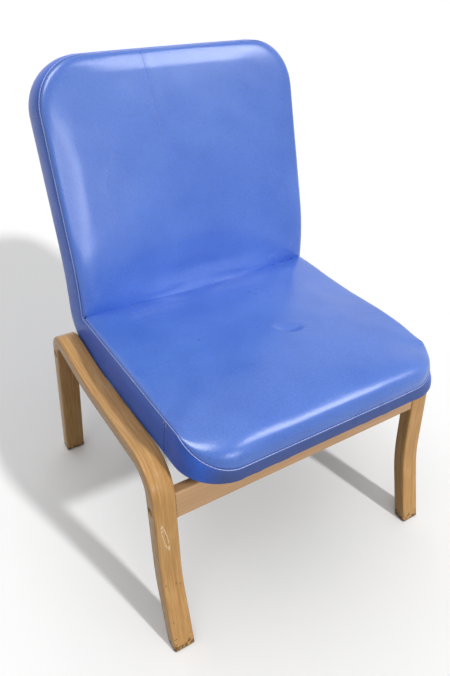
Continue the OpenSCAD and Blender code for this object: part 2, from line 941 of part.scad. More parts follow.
module bracket_rear_left() {
    color(steel) mirror([1, 0, 0]) bracket_rear();
}

module bracket_rear_right() {
    color(steel) bracket_rear();
}

// pan-head screw along -Z with its head on z = 0
module pan_screw(d, l, head_d, head_h) {
    translate([0, 0, -l]) cylinder(d = d, h = l);
    cylinder(d = head_d, h = head_h);
}

module rail_screws(p, turn_x) {
    for (x = [-screw_gap, screw_gap])
        translate([bracket_x + x, p.x, p.y]) rotate([turn_x, 0, 0])
            translate([0, 0, bracket_t]) pan_screw(screw_d, screw_l, 8, 2.4);
}

module bracket_screws() {
    color(steel) both_sides() {
        rail_screws(front_screw_p, -90 - front_lean);
        rail_screws(rear_screw_p, 90 + rear_lean);
    }
}

module seat_bolts() {
    color(steel) both_sides() for (p = [front_bolt_p, rear_bolt_p])
        at_seat(p) translate([bracket_x, 0, -bracket_t]) rotate([180, 0, 0])
            pan_screw(bolt_d, bracket_t + cloth_t + ply_t - 1, 12, 3.6);
}

side_frame_left();
side_frame_right();
front_rail();
rear_rail();
rail_dowels();
connector_bolts();
cross_dowels();
foot_glides();
glide_nails();
seat_shell();
seat_foam();
back_foam();
seat_cover();
back_cover();
outside_back_cover();
side_boxing_left();
side_boxing_right();
front_boxing();
top_boxing();
base_cloth();
bracket_front_left();
bracket_front_right();
bracket_rear_left();
bracket_rear_right();
bracket_screws();
seat_bolts();
tee_nuts();
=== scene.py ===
import bpy
import math
from mathutils import Matrix, Vector, noise


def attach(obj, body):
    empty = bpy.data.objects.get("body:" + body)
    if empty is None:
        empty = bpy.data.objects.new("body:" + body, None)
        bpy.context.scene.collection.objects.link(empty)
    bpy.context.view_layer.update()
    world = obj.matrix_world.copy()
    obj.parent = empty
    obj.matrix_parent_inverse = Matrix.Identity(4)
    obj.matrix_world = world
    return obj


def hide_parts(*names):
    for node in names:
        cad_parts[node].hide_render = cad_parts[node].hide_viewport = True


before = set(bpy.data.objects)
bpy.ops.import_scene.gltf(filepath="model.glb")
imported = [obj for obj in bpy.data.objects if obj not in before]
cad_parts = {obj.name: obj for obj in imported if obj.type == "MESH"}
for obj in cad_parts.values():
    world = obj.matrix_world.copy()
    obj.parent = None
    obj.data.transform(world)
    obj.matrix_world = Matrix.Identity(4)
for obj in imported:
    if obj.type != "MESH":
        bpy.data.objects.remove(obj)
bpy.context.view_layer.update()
print("frame loaded")

# camera at the photograph's place, with its directions right, up and forward
camera = {"place": (-0.50974, -0.73063, 1.04357), "right": (0.85161, -0.52099, 0.05765),
          "up": (0.28406, 0.55114, 0.78457), "forward": (0.44053, 0.65178, -0.61735), "lens": 32.72}

eye = bpy.data.objects.new("eye", bpy.data.cameras.new("eye"))
bpy.context.scene.collection.objects.link(eye)
eye.data.lens = camera["lens"]
eye.data.sensor_width = 36
eye.data.clip_end = 50
eye.matrix_world = Matrix.Translation(camera["place"]) @ Matrix((
    camera["right"], camera["up"], [-value for value in camera["forward"]])).transposed().to_4x4()
bpy.context.scene.camera = eye


joinWithin = 0.00002     # points closer than this are one point


def deselectAll():
    if bpy.context.object and bpy.context.object.mode != "OBJECT":
        bpy.ops.object.mode_set(mode="OBJECT")
    bpy.ops.object.select_all(action="DESELECT")


def activate(piece):
    deselectAll()
    piece.select_set(True)
    bpy.context.view_layer.objects.active = piece


def applyModifiers(piece):
    activate(piece)
    for modifier in list(piece.modifiers):
        bpy.ops.object.modifier_apply(modifier=modifier.name)


def tidyMesh(piece, angle=40):
    activate(piece)
    bpy.ops.object.transform_apply(location=True, rotation=True, scale=True)
    bpy.ops.object.mode_set(mode="EDIT")
    bpy.ops.mesh.select_all(action="SELECT")
    bpy.ops.mesh.remove_doubles(threshold=joinWithin)
    bpy.ops.mesh.normals_make_consistent(inside=False)
    bpy.ops.object.mode_set(mode="OBJECT")
    bpy.ops.object.shade_smooth_by_angle(angle=math.radians(angle))


def newPiece(name, points, faces):
    mesh = bpy.data.meshes.new(name)
    mesh.from_pydata([tuple(point) for point in points], [], faces)
    piece = bpy.data.objects.new(name, mesh)
    bpy.context.scene.collection.objects.link(piece)
    return piece


def finishPiece(piece, material, slot, *nodes):
    piece.data.materials.clear()
    piece.data.materials.append(material)
    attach(piece, "root")
    if nodes:
        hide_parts(*nodes)


# the side view's own geometry, in metres: first Y, then Z
def upright(lean):
    return Vector((math.sin(lean), math.cos(lean)))


def meeting(p, d, q, e):
    return p + d * (((q.x - p.x) * e.y - (q.y - p.y) * e.x) / (d.x * e.y - d.y * e.x))


def turnAt(corners, i):
    before, after = corners[i] - corners[i - 1], corners[i + 1] - corners[i]
    return math.atan2(before.x * after.y - before.y * after.x, before.dot(after))


def trimAt(corners, radii, i):
    if i in (0, len(corners) - 1) or not radii[i]:
        return 0
    return radii[i] * math.tan(abs(turnAt(corners, i)) / 2)


def bendCentre(corners, radii, i):
    along = (corners[i] - corners[i - 1]).normalized()
    side = 1 if turnAt(corners, i) > 0 else -1
    entry = corners[i] - along * trimAt(corners, radii, i)
    return entry + side * radii[i] * Vector((-along.y, along.x)), entry


def roundedPath(corners, radii, step):
    path = []
    for i, corner in enumerate(corners):
        if not trimAt(corners, radii, i):
            path.append(corner)
            continue
        centre, entry = bendCentre(corners, radii, i)
        turned = turnAt(corners, i)
        count = math.ceil(abs(turned) / step)
        for k in range(count + 1):
            turn = Matrix.Rotation(turned * k / count, 2)
            path.append(centre + turn @ (entry - centre))
    return path


def lengthsAlong(line):
    lengths = [0]
    for a, b in zip(line, line[1:]):
        lengths.append(lengths[-1] + (b - a).length)
    return lengths


def alongLine(line, share):
    # the place at a share of the line's length
    lengths = lengthsAlong(line)
    want = share * lengths[-1]
    i = max(k for k in range(len(line) - 1) if lengths[k] <= want)
    span = lengths[i + 1] - lengths[i]
    return line[i].lerp(line[i + 1], (want - lengths[i]) / span if span else 0)


def evenly(line, gap):
    # the same line with its points about one gap apart
    count = max(1, round(lengthsAlong(line)[-1] / gap))
    return [alongLine(line, k / count) for k in range(count + 1)]


# materials
def linear(code):
    values = [int(code[i:i + 2], 16) / 255 for i in (1, 3, 5)]
    return [v / 12.92 if v <= 0.04045 else ((v + 0.055) / 1.055) ** 2.4 for v in values] + [1]


def setInputs(tree, node, inputs):
    # each to a value, or to the socket that feeds it, or to a node, meaning its first socket
    for name, value in inputs.items():
        if isinstance(value, bpy.types.Node):
            value = value.outputs[0]
        if isinstance(value, bpy.types.NodeSocket):
            tree.links.new(value, node.inputs[name])
        else:
            node.inputs[name].default_value = value


def addNode(tree, kind, inputs=None, stops=None, **options):
    node = tree.nodes.new(kind)
    for option, value in options.items():
        setattr(node, option, value)
    setInputs(tree, node, inputs or {})
    if stops:
        while len(node.color_ramp.elements) < len(stops):
            node.color_ramp.elements.new(1)
        for element, (place, colour) in zip(node.color_ramp.elements, stops):
            element.position = place
            element.color = colour
    return node


def newMaterial(name, values):
    material = bpy.data.materials.new(name)
    material.use_nodes = True
    tree = material.node_tree
    tree.nodes.clear()
    shader = addNode(tree, "ShaderNodeBsdfPrincipled", values)
    addNode(tree, "ShaderNodeOutputMaterial", {"Surface": shader})
    return material, tree, shader


# Beech, laminated from veneers and clear lacquered. Grain runs along the strip, short dark
# rays fleck the faces, and the veneers' edges and glue lines show on the narrow sides.
beechLook = {
    "pale": "#DEB57A", "mid": "#CC9B5F", "deep": "#B07E42", "fleck": "#A87440",
    "lacquer": {"Roughness": 0.4, "IOR": 1.5, "Coat Weight": 0.22, "Coat Roughness": 0.24,
                "Specular IOR Level": 0.15},
    "streak": 0.0035,        # width of a grain streak, in metres
    "streakShape": (0.05, 1, 1), "streakShare": 0.55,
    "broad": 38,             # broad changes of tone, to the metre
    "fleckWide": 0.0009,     # real rays are 0.3 mm wide, drawn wider to show
    "fleckShape": (0.12, 1, 1), "fleckShare": 0.3,
    "veneer": 0.002,         # thickness of one veneer; the strip has thirteen
    "veneerTones": (0.9, 1.04), "glueWide": 0.14, "glueTone": 0.68,
}
# dirt, thickest at the feet, and marks of use on the left front leg's front face, in mm: x, z,
# half width, half height, and lean in degrees
wear = {
    "dirt": "#4A3420", "bare": "#F8E6C6",
    "spots": 150,            # dirt spots to the metre
    "foot": (0.002, 0.03), "footDirt": 0.34, "dirtEdge": (0.72, 0.82), "dirtDeep": 0.8,
    "frontLegs": -0.15, "faceDeep": 0.0012,
    "scratch": (-265.5, 234, 3.2, 25, -8.3),     # lens-shaped, and only its rim shows
    "scratchGaps": 260,      # breaks in the scratch, to the metre
    "nicks": [(-256.3, 130, 0.9, 3.2, 10), (-249.7, 126, 0.8, 2.4, -8),
              (-273.4, 134, 0.7, 3.0, 0), (-272.2, 60, 0.9, 2.2, 15), (-264.0, 240, 0.5, 3.5, 30),
              (-267.5, 228, 0.5, 3.0, -35), (-274.4, 26, 3.0, 0.9, 5), (-264.6, 7, 4.5, 1.0, -4),
              (-250.7, 11, 2.6, 0.9, 8), (-248.2, 26, 1.8, 0.8, 0)],
}


def markRadius(tree, place, mark):
    # 1 on the rim of one mark, 0 in its middle; its depth along Y doesn't count
    x, z, wide, high, lean = mark
    moved = addNode(tree, "ShaderNodeMapping",
                    {"Vector": place, "Location": (x / 1000, 0, z / 1000),
                     "Rotation": (0, math.radians(lean), 0),
                     "Scale": (wide / 1000, 1000, high / 1000)}, vector_type="TEXTURE")
    return addNode(tree, "ShaderNodeVectorMath", {0: moved}, operation="LENGTH").outputs["Value"]


def frontLegOnly(tree, where, depth):
    # 1 on the outer face of the left front leg
    left = addNode(tree, "ShaderNodeMath", {0: where.outputs["X"], 1: 0}, operation="LESS_THAN")
    ahead = addNode(tree, "ShaderNodeMath", {0: where.outputs["Y"], 1: wear["frontLegs"]},
                    operation="LESS_THAN")
    face = addNode(tree, "ShaderNodeMath", {0: depth, 1: wear["faceDeep"]}, operation="LESS_THAN")
    both = addNode(tree, "ShaderNodeMath", {0: left, 1: ahead}, operation="MULTIPLY")
    return addNode(tree, "ShaderNodeMath", {0: both, 1: face}, operation="MULTIPLY")


def grainColour(tree, place, look):
    # long soft streaks; also gives their height
    wide = addNode(tree, "ShaderNodeMapping", {"Vector": place, "Scale": look["streakShape"]})
    streaks = addNode(tree, "ShaderNodeTexNoise",
                      {"Vector": wide, "Scale": 1 / look["streak"], "Detail": 4, "Roughness": 0.6,
                       "Distortion": 0.4})
    broad = addNode(tree, "ShaderNodeTexNoise",
                    {"Vector": wide, "Scale": look["broad"], "Detail": 2})
    both = addNode(tree, "ShaderNodeMath", {0: streaks.outputs["Fac"], 1: look["streakShare"]},
                   operation="MULTIPLY")
    both = addNode(tree, "ShaderNodeMath",
                   {0: broad.outputs["Fac"], 1: 1 - look["streakShare"], 2: both},
                   operation="MULTIPLY_ADD")
    wood = addNode(tree, "ShaderNodeValToRGB", {"Fac": both},
                   stops=[(0.32, linear(look["deep"])), (0.5, linear(look["mid"])),
                          (0.68, linear(look["pale"]))])

    # rays: short dashes along the grain
    short = addNode(tree, "ShaderNodeMapping", {"Vector": place, "Scale": look["fleckShape"]})
    rays = addNode(tree, "ShaderNodeTexVoronoi",
                   {"Vector": short, "Scale": look["fleckShare"] / look["fleckWide"],
                    "Randomness": 1})
    rays = addNode(tree, "ShaderNodeMapRange",
                   {"Value": rays.outputs["Distance"], "From Min": 0.06, "From Max": 0.2,
                    "To Min": 0.3, "To Max": 0})
    wood = addNode(tree, "ShaderNodeMix", {"Factor": rays, "A": wood, "B": linear(look["fleck"])},
                   data_type="RGBA")
    return wood.outputs["Result"], both


def veneerTones(tree, depth, look):
    # each veneer has its own tone, with a thin glue line between two
    layer = addNode(tree, "ShaderNodeMath", {0: depth, 1: 1 / look["veneer"], 2: 0.5},
                    operation="MULTIPLY_ADD")
    step = addNode(tree, "ShaderNodeMath", {0: layer}, operation="FLOOR")
    tone = addNode(tree, "ShaderNodeTexWhiteNoise", {"W": step}, noise_dimensions="1D")
    darkest, palest = look["veneerTones"]
    tone = addNode(tree, "ShaderNodeMapRange",
                   {"Value": tone.outputs["Value"], "To Min": darkest, "To Max": palest})
    between = addNode(tree, "ShaderNodeMath", {0: layer, 1: 1.0}, operation="PINGPONG")
    glue = addNode(tree, "ShaderNodeMapRange",
                   {"Value": between, "From Min": 0, "From Max": look["glueWide"],
                    "To Min": look["glueTone"], "To Max": 1})
    return addNode(tree, "ShaderNodeMath", {0: tone, 1: glue}, operation="MULTIPLY")


def dirtShare(tree, spot, where, leg):
    # dirt and small bruises, thickest at the feet, and nicks on one leg
    low = addNode(tree, "ShaderNodeMapRange",
                  {"Value": where.outputs["Z"], "From Min": wear["foot"][0],
                   "From Max": wear["foot"][1], "To Min": wear["footDirt"], "To Max": 0.0})
    spots = addNode(tree, "ShaderNodeTexNoise",
                    {"Vector": spot, "Scale": wear["spots"], "Detail": 3, "Roughness": 0.7})
    spots = addNode(tree, "ShaderNodeMath", {0: spots.outputs["Fac"], 1: low}, operation="ADD")
    dirt = addNode(tree, "ShaderNodeMapRange",
                   {"Value": spots, "From Min": wear["dirtEdge"][0],
                    "From Max": wear["dirtEdge"][1], "To Max": wear["dirtDeep"]})
    for mark in wear["nicks"]:
        inside = addNode(tree, "ShaderNodeMapRange",
                         {"Value": markRadius(tree, spot, mark), "From Min": 0.7, "From Max": 1.1,
                          "To Min": 0.75, "To Max": 0})
        inside = addNode(tree, "ShaderNodeMath", {0: inside, 1: leg}, operation="MULTIPLY")
        dirt = addNode(tree, "ShaderNodeMath", {0: dirt, 1: inside}, operation="MAXIMUM")
    return dirt


def scratchShare(tree, spot, leg):
    # the broken rim of the scratch
    rim = addNode(tree, "ShaderNodeMath", {0: markRadius(tree, spot, wear["scratch"]), 1: 1.0},
                  operation="SUBTRACT")
    rim = addNode(tree, "ShaderNodeMath", {0: rim}, operation="ABSOLUTE")
    rim = addNode(tree, "ShaderNodeMapRange",
                  {"Value": rim, "From Min": 0.05, "From Max": 0.3, "To Min": 0.85, "To Max": 0})
    worn = addNode(tree, "ShaderNodeTexNoise",
                   {"Vector": spot, "Scale": wear["scratchGaps"], "Detail": 2})
    worn = addNode(tree, "ShaderNodeMapRange",
                   {"Value": worn.outputs["Fac"], "From Min": 0.4, "From Max": 0.55})
    rim = addNode(tree, "ShaderNodeMath", {0: rim, 1: worn}, operation="MULTIPLY")
    return addNode(tree, "ShaderNodeMath", {0: rim, 1: leg}, operation="MULTIPLY")


def beech(name, look):
    material, tree, shader = newMaterial(name, look["lacquer"])
    place = addNode(tree, "ShaderNodeAttribute", attribute_name="grain").outputs["Vector"]
    depth = addNode(tree, "ShaderNodeSeparateXYZ", {"Vector": place}).outputs["Y"]
    spot = addNode(tree, "ShaderNodeTexCoord").outputs["Object"]
    where = addNode(tree, "ShaderNodeSeparateXYZ", {"Vector": spot})
    leg = frontLegOnly(tree, where, depth)
    wood, grain = grainColour(tree, place, look)
    wood = addNode(tree, "ShaderNodeVectorMath", {0: wood, 1: veneerTones(tree, depth, look)},
                   operation="MULTIPLY")
    wood = addNode(tree, "ShaderNodeMix",
                   {"Factor": dirtShare(tree, spot, where, leg), "A": wood,
                    "B": linear(wear["dirt"])}, data_type="RGBA")
    wood = addNode(tree, "ShaderNodeMix",
                   {"Factor": scratchShare(tree, spot, leg), "A": wood.outputs["Result"],
                    "B": linear(wear["bare"])}, data_type="RGBA")
    bump = addNode(tree, "ShaderNodeBump", {"Height": grain, "Strength": 0.1, "Distance": 0.0005})
    setInputs(tree, shader, {"Base Color": wood.outputs["Result"], "Normal": bump})
    return material


# Coated fabric (soft PVC on a knit), embossed with a fine leather grain and slightly glossy.
vinylLook = {
    # groove and crease are darker tones, painted as shade in the seam's groove and along the back's
    # crease
    "colour": "#4A75D2", "light": "#5882DC", "groove": "#27408C", "crease": "#2F4C9E",
    # the darker, greyer tone painted as shade on the boxing's front strip
    "paintedFrontShade": "#50639F",
    "coat": 0.3, "coatRoughness": 0.24, "specular": 0.42, "polish": (0.27, 0.32),
    "pebble": 0.0024,        # the real grain is 0.7 mm, drawn coarser to show
    "pebbleTones": (1.07, 0.9), "embossed": 0.3, "relief": 0.0004,
    "clouds": 7, "uneven": 90, "polishClouds": 11,       # soft changes, to the metre
    # the painted shade beside a seam: the distances over which it fades, in metres, and its
    # strength
    "paintedShadeWide": (0.0010, 0.0030), "paintedShade": 0.7,
    # painted shade on the boxing's front strip fades in between these two Y
    "paintedFrontShadeFrom": -0.272, "paintedFrontShadeTo": -0.292,            # Y of the strip across the front
}
# the crease down the back: its place in x at z = 0 and how it leans, in metres; its dark line is
# painted shade, and tint is how dark it is
crease = {"x": 0.0120, "slant": -0.0905, "wave": 0.002, "waves": 14, "wide": 0.0011,
          "fades": (0.60, 0.70), "tint": 0.45, "deep": 1.5}


def foldLine(tree, place):
    # 1 on the fine crease that runs down the back pad from its top edge, 0 away from it
    parts = addNode(tree, "ShaderNodeSeparateXYZ", {"Vector": place})
    line = addNode(tree, "ShaderNodeMath",
                   {0: parts.outputs["Z"], 1: crease["slant"], 2: crease["x"]},
                   operation="MULTIPLY_ADD")
    wave = addNode(tree, "ShaderNodeTexNoise",
                   {"Vector": place, "Scale": crease["waves"], "Detail": 2})
    wave = addNode(tree, "ShaderNodeMath", {0: wave.outputs["Fac"], 1: crease["wave"], 2: line},
                   operation="MULTIPLY_ADD")
    away = addNode(tree, "ShaderNodeMath", {0: parts.outputs["X"], 1: wave}, operation="SUBTRACT")
    away = addNode(tree, "ShaderNodeMath", {0: away}, operation="ABSOLUTE")
    near = addNode(tree, "ShaderNodeMapRange",
                   {"Value": away, "From Min": 0, "From Max": crease["wide"], "To Min": 1,
                    "To Max": 0})
    low, full = crease["fades"]
    high = addNode(tree, "ShaderNodeMapRange",
                   {"Value": parts.outputs["Z"], "From Min": low, "From Max": full})
    return addNode(tree, "ShaderNodeMath", {0: near, 1: high}, operation="MULTIPLY")


def vinyl(name, look, paintedShade=False, gloss=1.0, paintedFrontShade=False):
    material, tree, shader = newMaterial(name, {
        "IOR": 1.5, "Coat Weight": look["coat"] * gloss, "Coat Roughness": look["coatRoughness"],
        "Specular IOR Level": look["specular"] * gloss})
    place = addNode(tree, "ShaderNodeTexCoord").outputs["Object"]
    clouds = addNode(tree, "ShaderNodeTexNoise",
                     {"Vector": place, "Scale": look["clouds"], "Detail": 4, "Roughness": 0.6})
    colour = addNode(tree, "ShaderNodeValToRGB", {"Fac": clouds.outputs["Fac"]},
                     stops=[(0.35, linear(look["colour"])), (0.68, linear(look["light"]))])
    cells = addNode(tree, "ShaderNodeTexVoronoi",
                    {"Vector": place, "Scale": 1 / look["pebble"], "Randomness": 1},
                    feature="SMOOTH_F1").outputs["Distance"]
    middle, between = look["pebbleTones"]
    mottle = addNode(tree, "ShaderNodeMapRange",
                     {"Value": cells, "From Min": 0.1, "From Max": 0.7, "To Min": middle,
                      "To Max": between})
    colour = addNode(tree, "ShaderNodeVectorMath", {0: colour, 1: mottle}, operation="MULTIPLY")
    soft = addNode(tree, "ShaderNodeTexNoise",
                   {"Vector": place, "Scale": look["uneven"], "Detail": 3})
    height = addNode(tree, "ShaderNodeMath", {0: soft.outputs["Fac"], 1: 0.6, 2: cells},
                     operation="MULTIPLY_ADD")
    tints = []
    if paintedShade:
        # painted shade darkens the groove beside a seam, on the pads, which know their distance
        # from it
        gap = addNode(tree, "ShaderNodeAttribute", attribute_name="seamGap")
        start, end = look["paintedShadeWide"]
        edge = addNode(tree, "ShaderNodeMapRange",
                       {"Value": gap.outputs["Fac"], "From Min": start, "From Max": end,
                        "To Min": look["paintedShade"], "To Max": 0})
        # painted shade along the back's crease, which is also pressed in a little
        folded = foldLine(tree, place)
        shade = addNode(tree, "ShaderNodeMath", {0: folded, 1: crease["tint"]},
                        operation="MULTIPLY")
        height = addNode(tree, "ShaderNodeMath", {0: folded, 1: -crease["deep"], 2: height},
                         operation="MULTIPLY_ADD")
        tints = [("groove", edge), ("crease", shade)]
    if paintedFrontShade:
        # painted shade: the strip across the front is tinted darker and greyer, standing in for the
        # shade it lies in
        parts = addNode(tree, "ShaderNodeSeparateXYZ", {"Vector": place})
        ahead = addNode(tree, "ShaderNodeMapRange",
                        {"Value": parts.outputs["Y"], "From Min": look["paintedFrontShadeFrom"],
                         "From Max": look["paintedFrontShadeTo"]})
        tints = [("paintedFrontShade", ahead)]
    for tint, share in tints:
        colour = addNode(tree, "ShaderNodeMix",
                         {"Factor": share, "A": colour, "B": linear(look[tint])},
                         data_type="RGBA").outputs["Result"]
    bump = addNode(tree, "ShaderNodeBump",
                   {"Height": height, "Strength": look["embossed"], "Distance": look["relief"]})
    smoothest, roughest = look["polish"]
    shine = addNode(tree, "ShaderNodeTexNoise",
                    {"Vector": place, "Scale": look["polishClouds"], "Detail": 3})
    shine = addNode(tree, "ShaderNodeMapRange",
                    {"Value": shine.outputs["Fac"], "From Min": 0.3, "From Max": 0.7,
                     "To Min": smoothest, "To Max": roughest})
    setInputs(tree, shader, {"Base Color": colour, "Normal": bump, "Roughness": shine})
    return material


def plain(name, colour, second, scale, values, stretch=(1, 1, 1), bump=0.1):
    # a finish of two close tones that change scale times in a metre
    material, tree, shader = newMaterial(name, values)
    place = addNode(tree, "ShaderNodeMapping",
                    {"Vector": addNode(tree, "ShaderNodeTexCoord").outputs["Object"],
                     "Scale": stretch})
    spots = addNode(tree, "ShaderNodeTexNoise",
                    {"Vector": place, "Scale": scale, "Detail": 4, "Roughness": 0.6})
    tint = addNode(tree, "ShaderNodeValToRGB", {"Fac": spots.outputs["Fac"]},
                   stops=[(0.35, linear(colour)), (0.65, linear(second))])
    relief = addNode(tree, "ShaderNodeBump",
                     {"Height": spots.outputs["Fac"], "Strength": bump, "Distance": 0.0003})
    setInputs(tree, shader, {"Base Color": tint, "Normal": relief})
    return material


beechLaminated = beech("lacqueredLaminatedBeech", beechLook)
padVinyl = vinyl("embossedBlueVinyl", vinylLook, paintedShade=True)
outsideVinyl = vinyl("outsideBlueVinyl", vinylLook)
# the boxing is the pads' vinyl, painted lighter to stand in for light on its shaded sides, less
# glossy, and with painted shade on its front strip
boxingVinyl = vinyl("boxingBlueVinylPaintedLighter", dict(vinylLook, colour="#4677F0", light="#5081F6"),
                    gloss=0.15, paintedFrontShade=True)
# the folded edges are the same vinyl, painted paler as the highlight that the raised fold catches
seamVinyl = vinyl("foldedVinylEdgePaintedHighlight", dict(vinylLook, colour="#8199DE", light="#93A9E6"))
# a darker copy of the vinyl, painted as the shade in the seams' grooves
jointVinyl = vinyl("seamGroovePaintedShade", dict(vinylLook, colour="#2C468F", light="#33509C"))
thread = plain("polyesterThread", "#B4C1EC", "#CBD4F2", 2500, {"Roughness": 0.6})
beechRail = plain("lacqueredSolidBeech", "#C5996D", "#D0A67A", 160,
                  {"Roughness": 0.42, "IOR": 1.5, "Coat Weight": 0.1, "Coat Roughness": 0.22},
                  stretch=(0.05, 1, 1))
dowelWood = plain("flutedBeechDowel", "#B98A52", "#D9B27C", 300, {"Roughness": 0.7}, (0.05, 1, 1))
zinc = plain("brightZincPlating", "#9EA3A6", "#C3C6C7", 400,
             {"Metallic": 1.0, "Roughness": 0.32}, bump=0.05)
bracketSteel = plain("zincPlatedSheetSteel", "#8E9396", "#B4B8BA", 160,
                     {"Metallic": 1.0, "Roughness": 0.4}, bump=0.08)
nylon = plain("mouldedNylon", "#5A554E", "#6E6A64", 300, {"Roughness": 0.55})
birchPly = plain("birchPlywood", "#C39A66", "#DDB988", 220, {"Roughness": 0.65}, (0.06, 0.06, 1))
spunCloth = plain("spunbondedPolypropylene", "#232326", "#313136", 900, {"Roughness": 0.85},
                  bump=0.4)
print("materials made")

# laminated side frames: corners of the strip's outer face in Y and Z, front foot first
sideFrame = {
    "outside": 0.280, "wide": 0.038, "thick": 0.026, "edge": 0.004, "floorCut": 0.002,
    "overrun": 0.012, "bendStep": math.radians(3), "grainStep": math.radians(2),
    "corners": [(-0.313, 0), (-0.264, 0.141), (-0.2295, 0.368), (0.029, 0.3375),
                (0.1815, 0.3445), (0.215, 0)],
    "radii": [0, 0.350, 0.064, 0.430, 0.050, 0],
    "recess": 0.015, "recessDeep": 0.009, "boltHole": 0.007, "drillPast": 0.002,
}
frontRailPlace = Vector((-0.23013, 0.284))
rearRailPlace = Vector((0.17413, 0.286))


def cutCylinder(piece, start, end, y, z, wide):
    # round hole along X from x = start to x = end, wide across
    deselectAll()
    bpy.ops.mesh.primitive_cylinder_add(vertices=40, radius=wide / 2, depth=abs(end - start),
                                        location=((start + end) / 2, y, z),
                                        rotation=(0, math.pi / 2, 0))
    drill = bpy.context.object
    cut = piece.modifiers.new("hole", "BOOLEAN")
    cut.operation = "DIFFERENCE"
    cut.solver = "EXACT"
    cut.object = drill
    applyModifiers(piece)
    bpy.data.objects.remove(drill)


def bentStrip(name, part, side):
    corners = [Vector(corner) for corner in part["corners"]]
    radii = part["radii"]
    along = (corners[1] - corners[0]).normalized()
    right = Vector((along.y, -along.x))
    start = corners[0] - along * part["overrun"] + right * part["thick"] / 2
    middle = side * (part["outside"] - part["wide"] / 2)
    deselectAll()
    bpy.ops.mesh.primitive_plane_add(size=1, location=(middle, start.x, start.y),
                                     rotation=(math.atan2(-along.x, along.y), 0, 0))
    piece = bpy.context.object
    piece.name = piece.data.name = name
    piece.scale = (part["wide"], part["thick"], 1)
    bpy.ops.object.transform_apply(location=True, rotation=True, scale=True)
    bpy.ops.object.mode_set(mode="EDIT")
    bpy.ops.mesh.select_all(action="SELECT")
    bpy.ops.mesh.bevel(offset=part["edge"], segments=4, affect="VERTICES")
    bpy.ops.mesh.select_all(action="SELECT")
    # both ends run past the floor before they are sawn
    extra = part["overrun"]
    for i in range(1, len(corners)):
        along = (corners[i] - corners[i - 1]).normalized()
        straight = ((corners[i] - corners[i - 1]).length + extra
                    - trimAt(corners, radii, i - 1) - trimAt(corners, radii, i))
        if i == len(corners) - 1:
            straight += part["overrun"]
        extra = 0
        move = along * straight
        bpy.ops.mesh.extrude_region_move(TRANSFORM_OT_translate={"value": (0, move.x, move.y)})
        if i < len(corners) - 1:
            centre, entry = bendCentre(corners, radii, i)
            turned = turnAt(corners, i)
            bpy.ops.mesh.spin(steps=math.ceil(abs(turned) / part["bendStep"]), angle=-turned,
                              center=(0, centre.x, centre.y), axis=(1, 0, 0))
    # both feet are sawn level
    bpy.ops.mesh.select_all(action="SELECT")
    bpy.ops.mesh.bisect(plane_co=(0, 0, part["floorCut"]), plane_no=(0, 0, 1), use_fill=True,
                        clear_inner=True)
    bpy.ops.object.mode_set(mode="OBJECT")
    tidyMesh(piece)
    for place in (frontRailPlace, rearRailPlace):
        outer = side * part["outside"]
        cutCylinder(piece, outer + side * part["drillPast"], outer - side * part["recessDeep"],
                    *place, part["recess"])
        cutCylinder(piece, outer, outer - side * (part["wide"] + part["drillPast"]), *place,
                    part["boltHole"])
    tidyMesh(piece, 35)
    grainAlongStrip(piece, part, middle)
    return piece


def grainAlongStrip(piece, part, middle):
    # length along the strip, depth from its outer face and place across it
    path = roundedPath([Vector(corner) for corner in part["corners"]], part["radii"],
                       part["grainStep"])
    lengths = lengthsAlong(path)
    values = []
    for vertex in piece.data.vertices:
        p = Vector((vertex.co.y, vertex.co.z))
        best = None
        for i, (a, b) in enumerate(zip(path, path[1:])):
            d = b - a
            t = (p - a).dot(d) / d.length_squared
            t = min(t, 1) if i < len(path) - 2 else t
            t = max(t, 0) if i else t
            gap = (p - a - d * t).length
            if best is None or gap < best[0]:
                best = (gap, lengths[i] + t * d.length)
        values += [best[1], best[0], vertex.co.x - middle]
    grain = piece.data.attributes.new("grain", "FLOAT_VECTOR", "POINT")
    grain.data.foreach_set("vector", values)


for name, node, side in (("sideFrameLeft", "side_frame_left", -1),
                         ("sideFrameRight", "side_frame_right", 1)):
    finishPiece(bentStrip(name, sideFrame, side), beechLaminated, "beech", node)
print("side frames made")

# one-piece upholstered seat and back: sizes of the seam line and of the shell behind it
uph = {
    "half": 0.238, "front": 0.296, "boxing": 0.066, "corner": 0.068, "topCorner": 0.080,
    "seamY": -0.218, "seamZ": 0.426, "tilt": math.radians(6.1), "frontSeamZ": 0.391,
    "dropY": -0.232, "dropPower": 1.1, "jointY": 0.121, "lowLean": math.radians(6.7),
    "backLean": math.radians(20.4), "lowBack": 0.0775, "upBack": 0.342, "lumbarR": 0.400,
    "heelR": 0.055, "seatMiddle": -0.086, "boxingCut": -0.197, "cornerSteps": 14,
}
half = uph["half"]
seatTan = math.tan(uph["tilt"])
seatWay = Vector((math.cos(uph["tilt"]), -math.sin(uph["tilt"])))


def seamPlane(y):
    return uph["seamZ"] - (y - uph["seamY"]) * seatTan


def seamHeight(y):
    # on the seam plane, then sweeping down to the front
    if y > uph["dropY"]:
        return seamPlane(y)
    down = min(1, (uph["dropY"] - y) / (uph["front"] + uph["dropY"]))
    drop = seamPlane(uph["dropY"]) - uph["frontSeamZ"]
    return seamPlane(uph["dropY"]) - drop * down ** uph["dropPower"]


def bottomZ(y):
    return seamPlane(y) - uph["boxing"] / math.cos(uph["tilt"])


joint = Vector((uph["jointY"], seamPlane(uph["jointY"])))
leanTurn = uph["backLean"] - uph["lowLean"]
arcTrim = uph["lumbarR"] * math.tan(leanTurn / 2)
arcStart = uph["lowBack"] - arcTrim
arcLength = uph["lumbarR"] * leanTurn
backLength = arcStart + arcLength + uph["upBack"] - arcTrim
arcFoot = joint + arcStart * upright(uph["lowLean"])
topCornerL = backLength - uph["topCorner"]


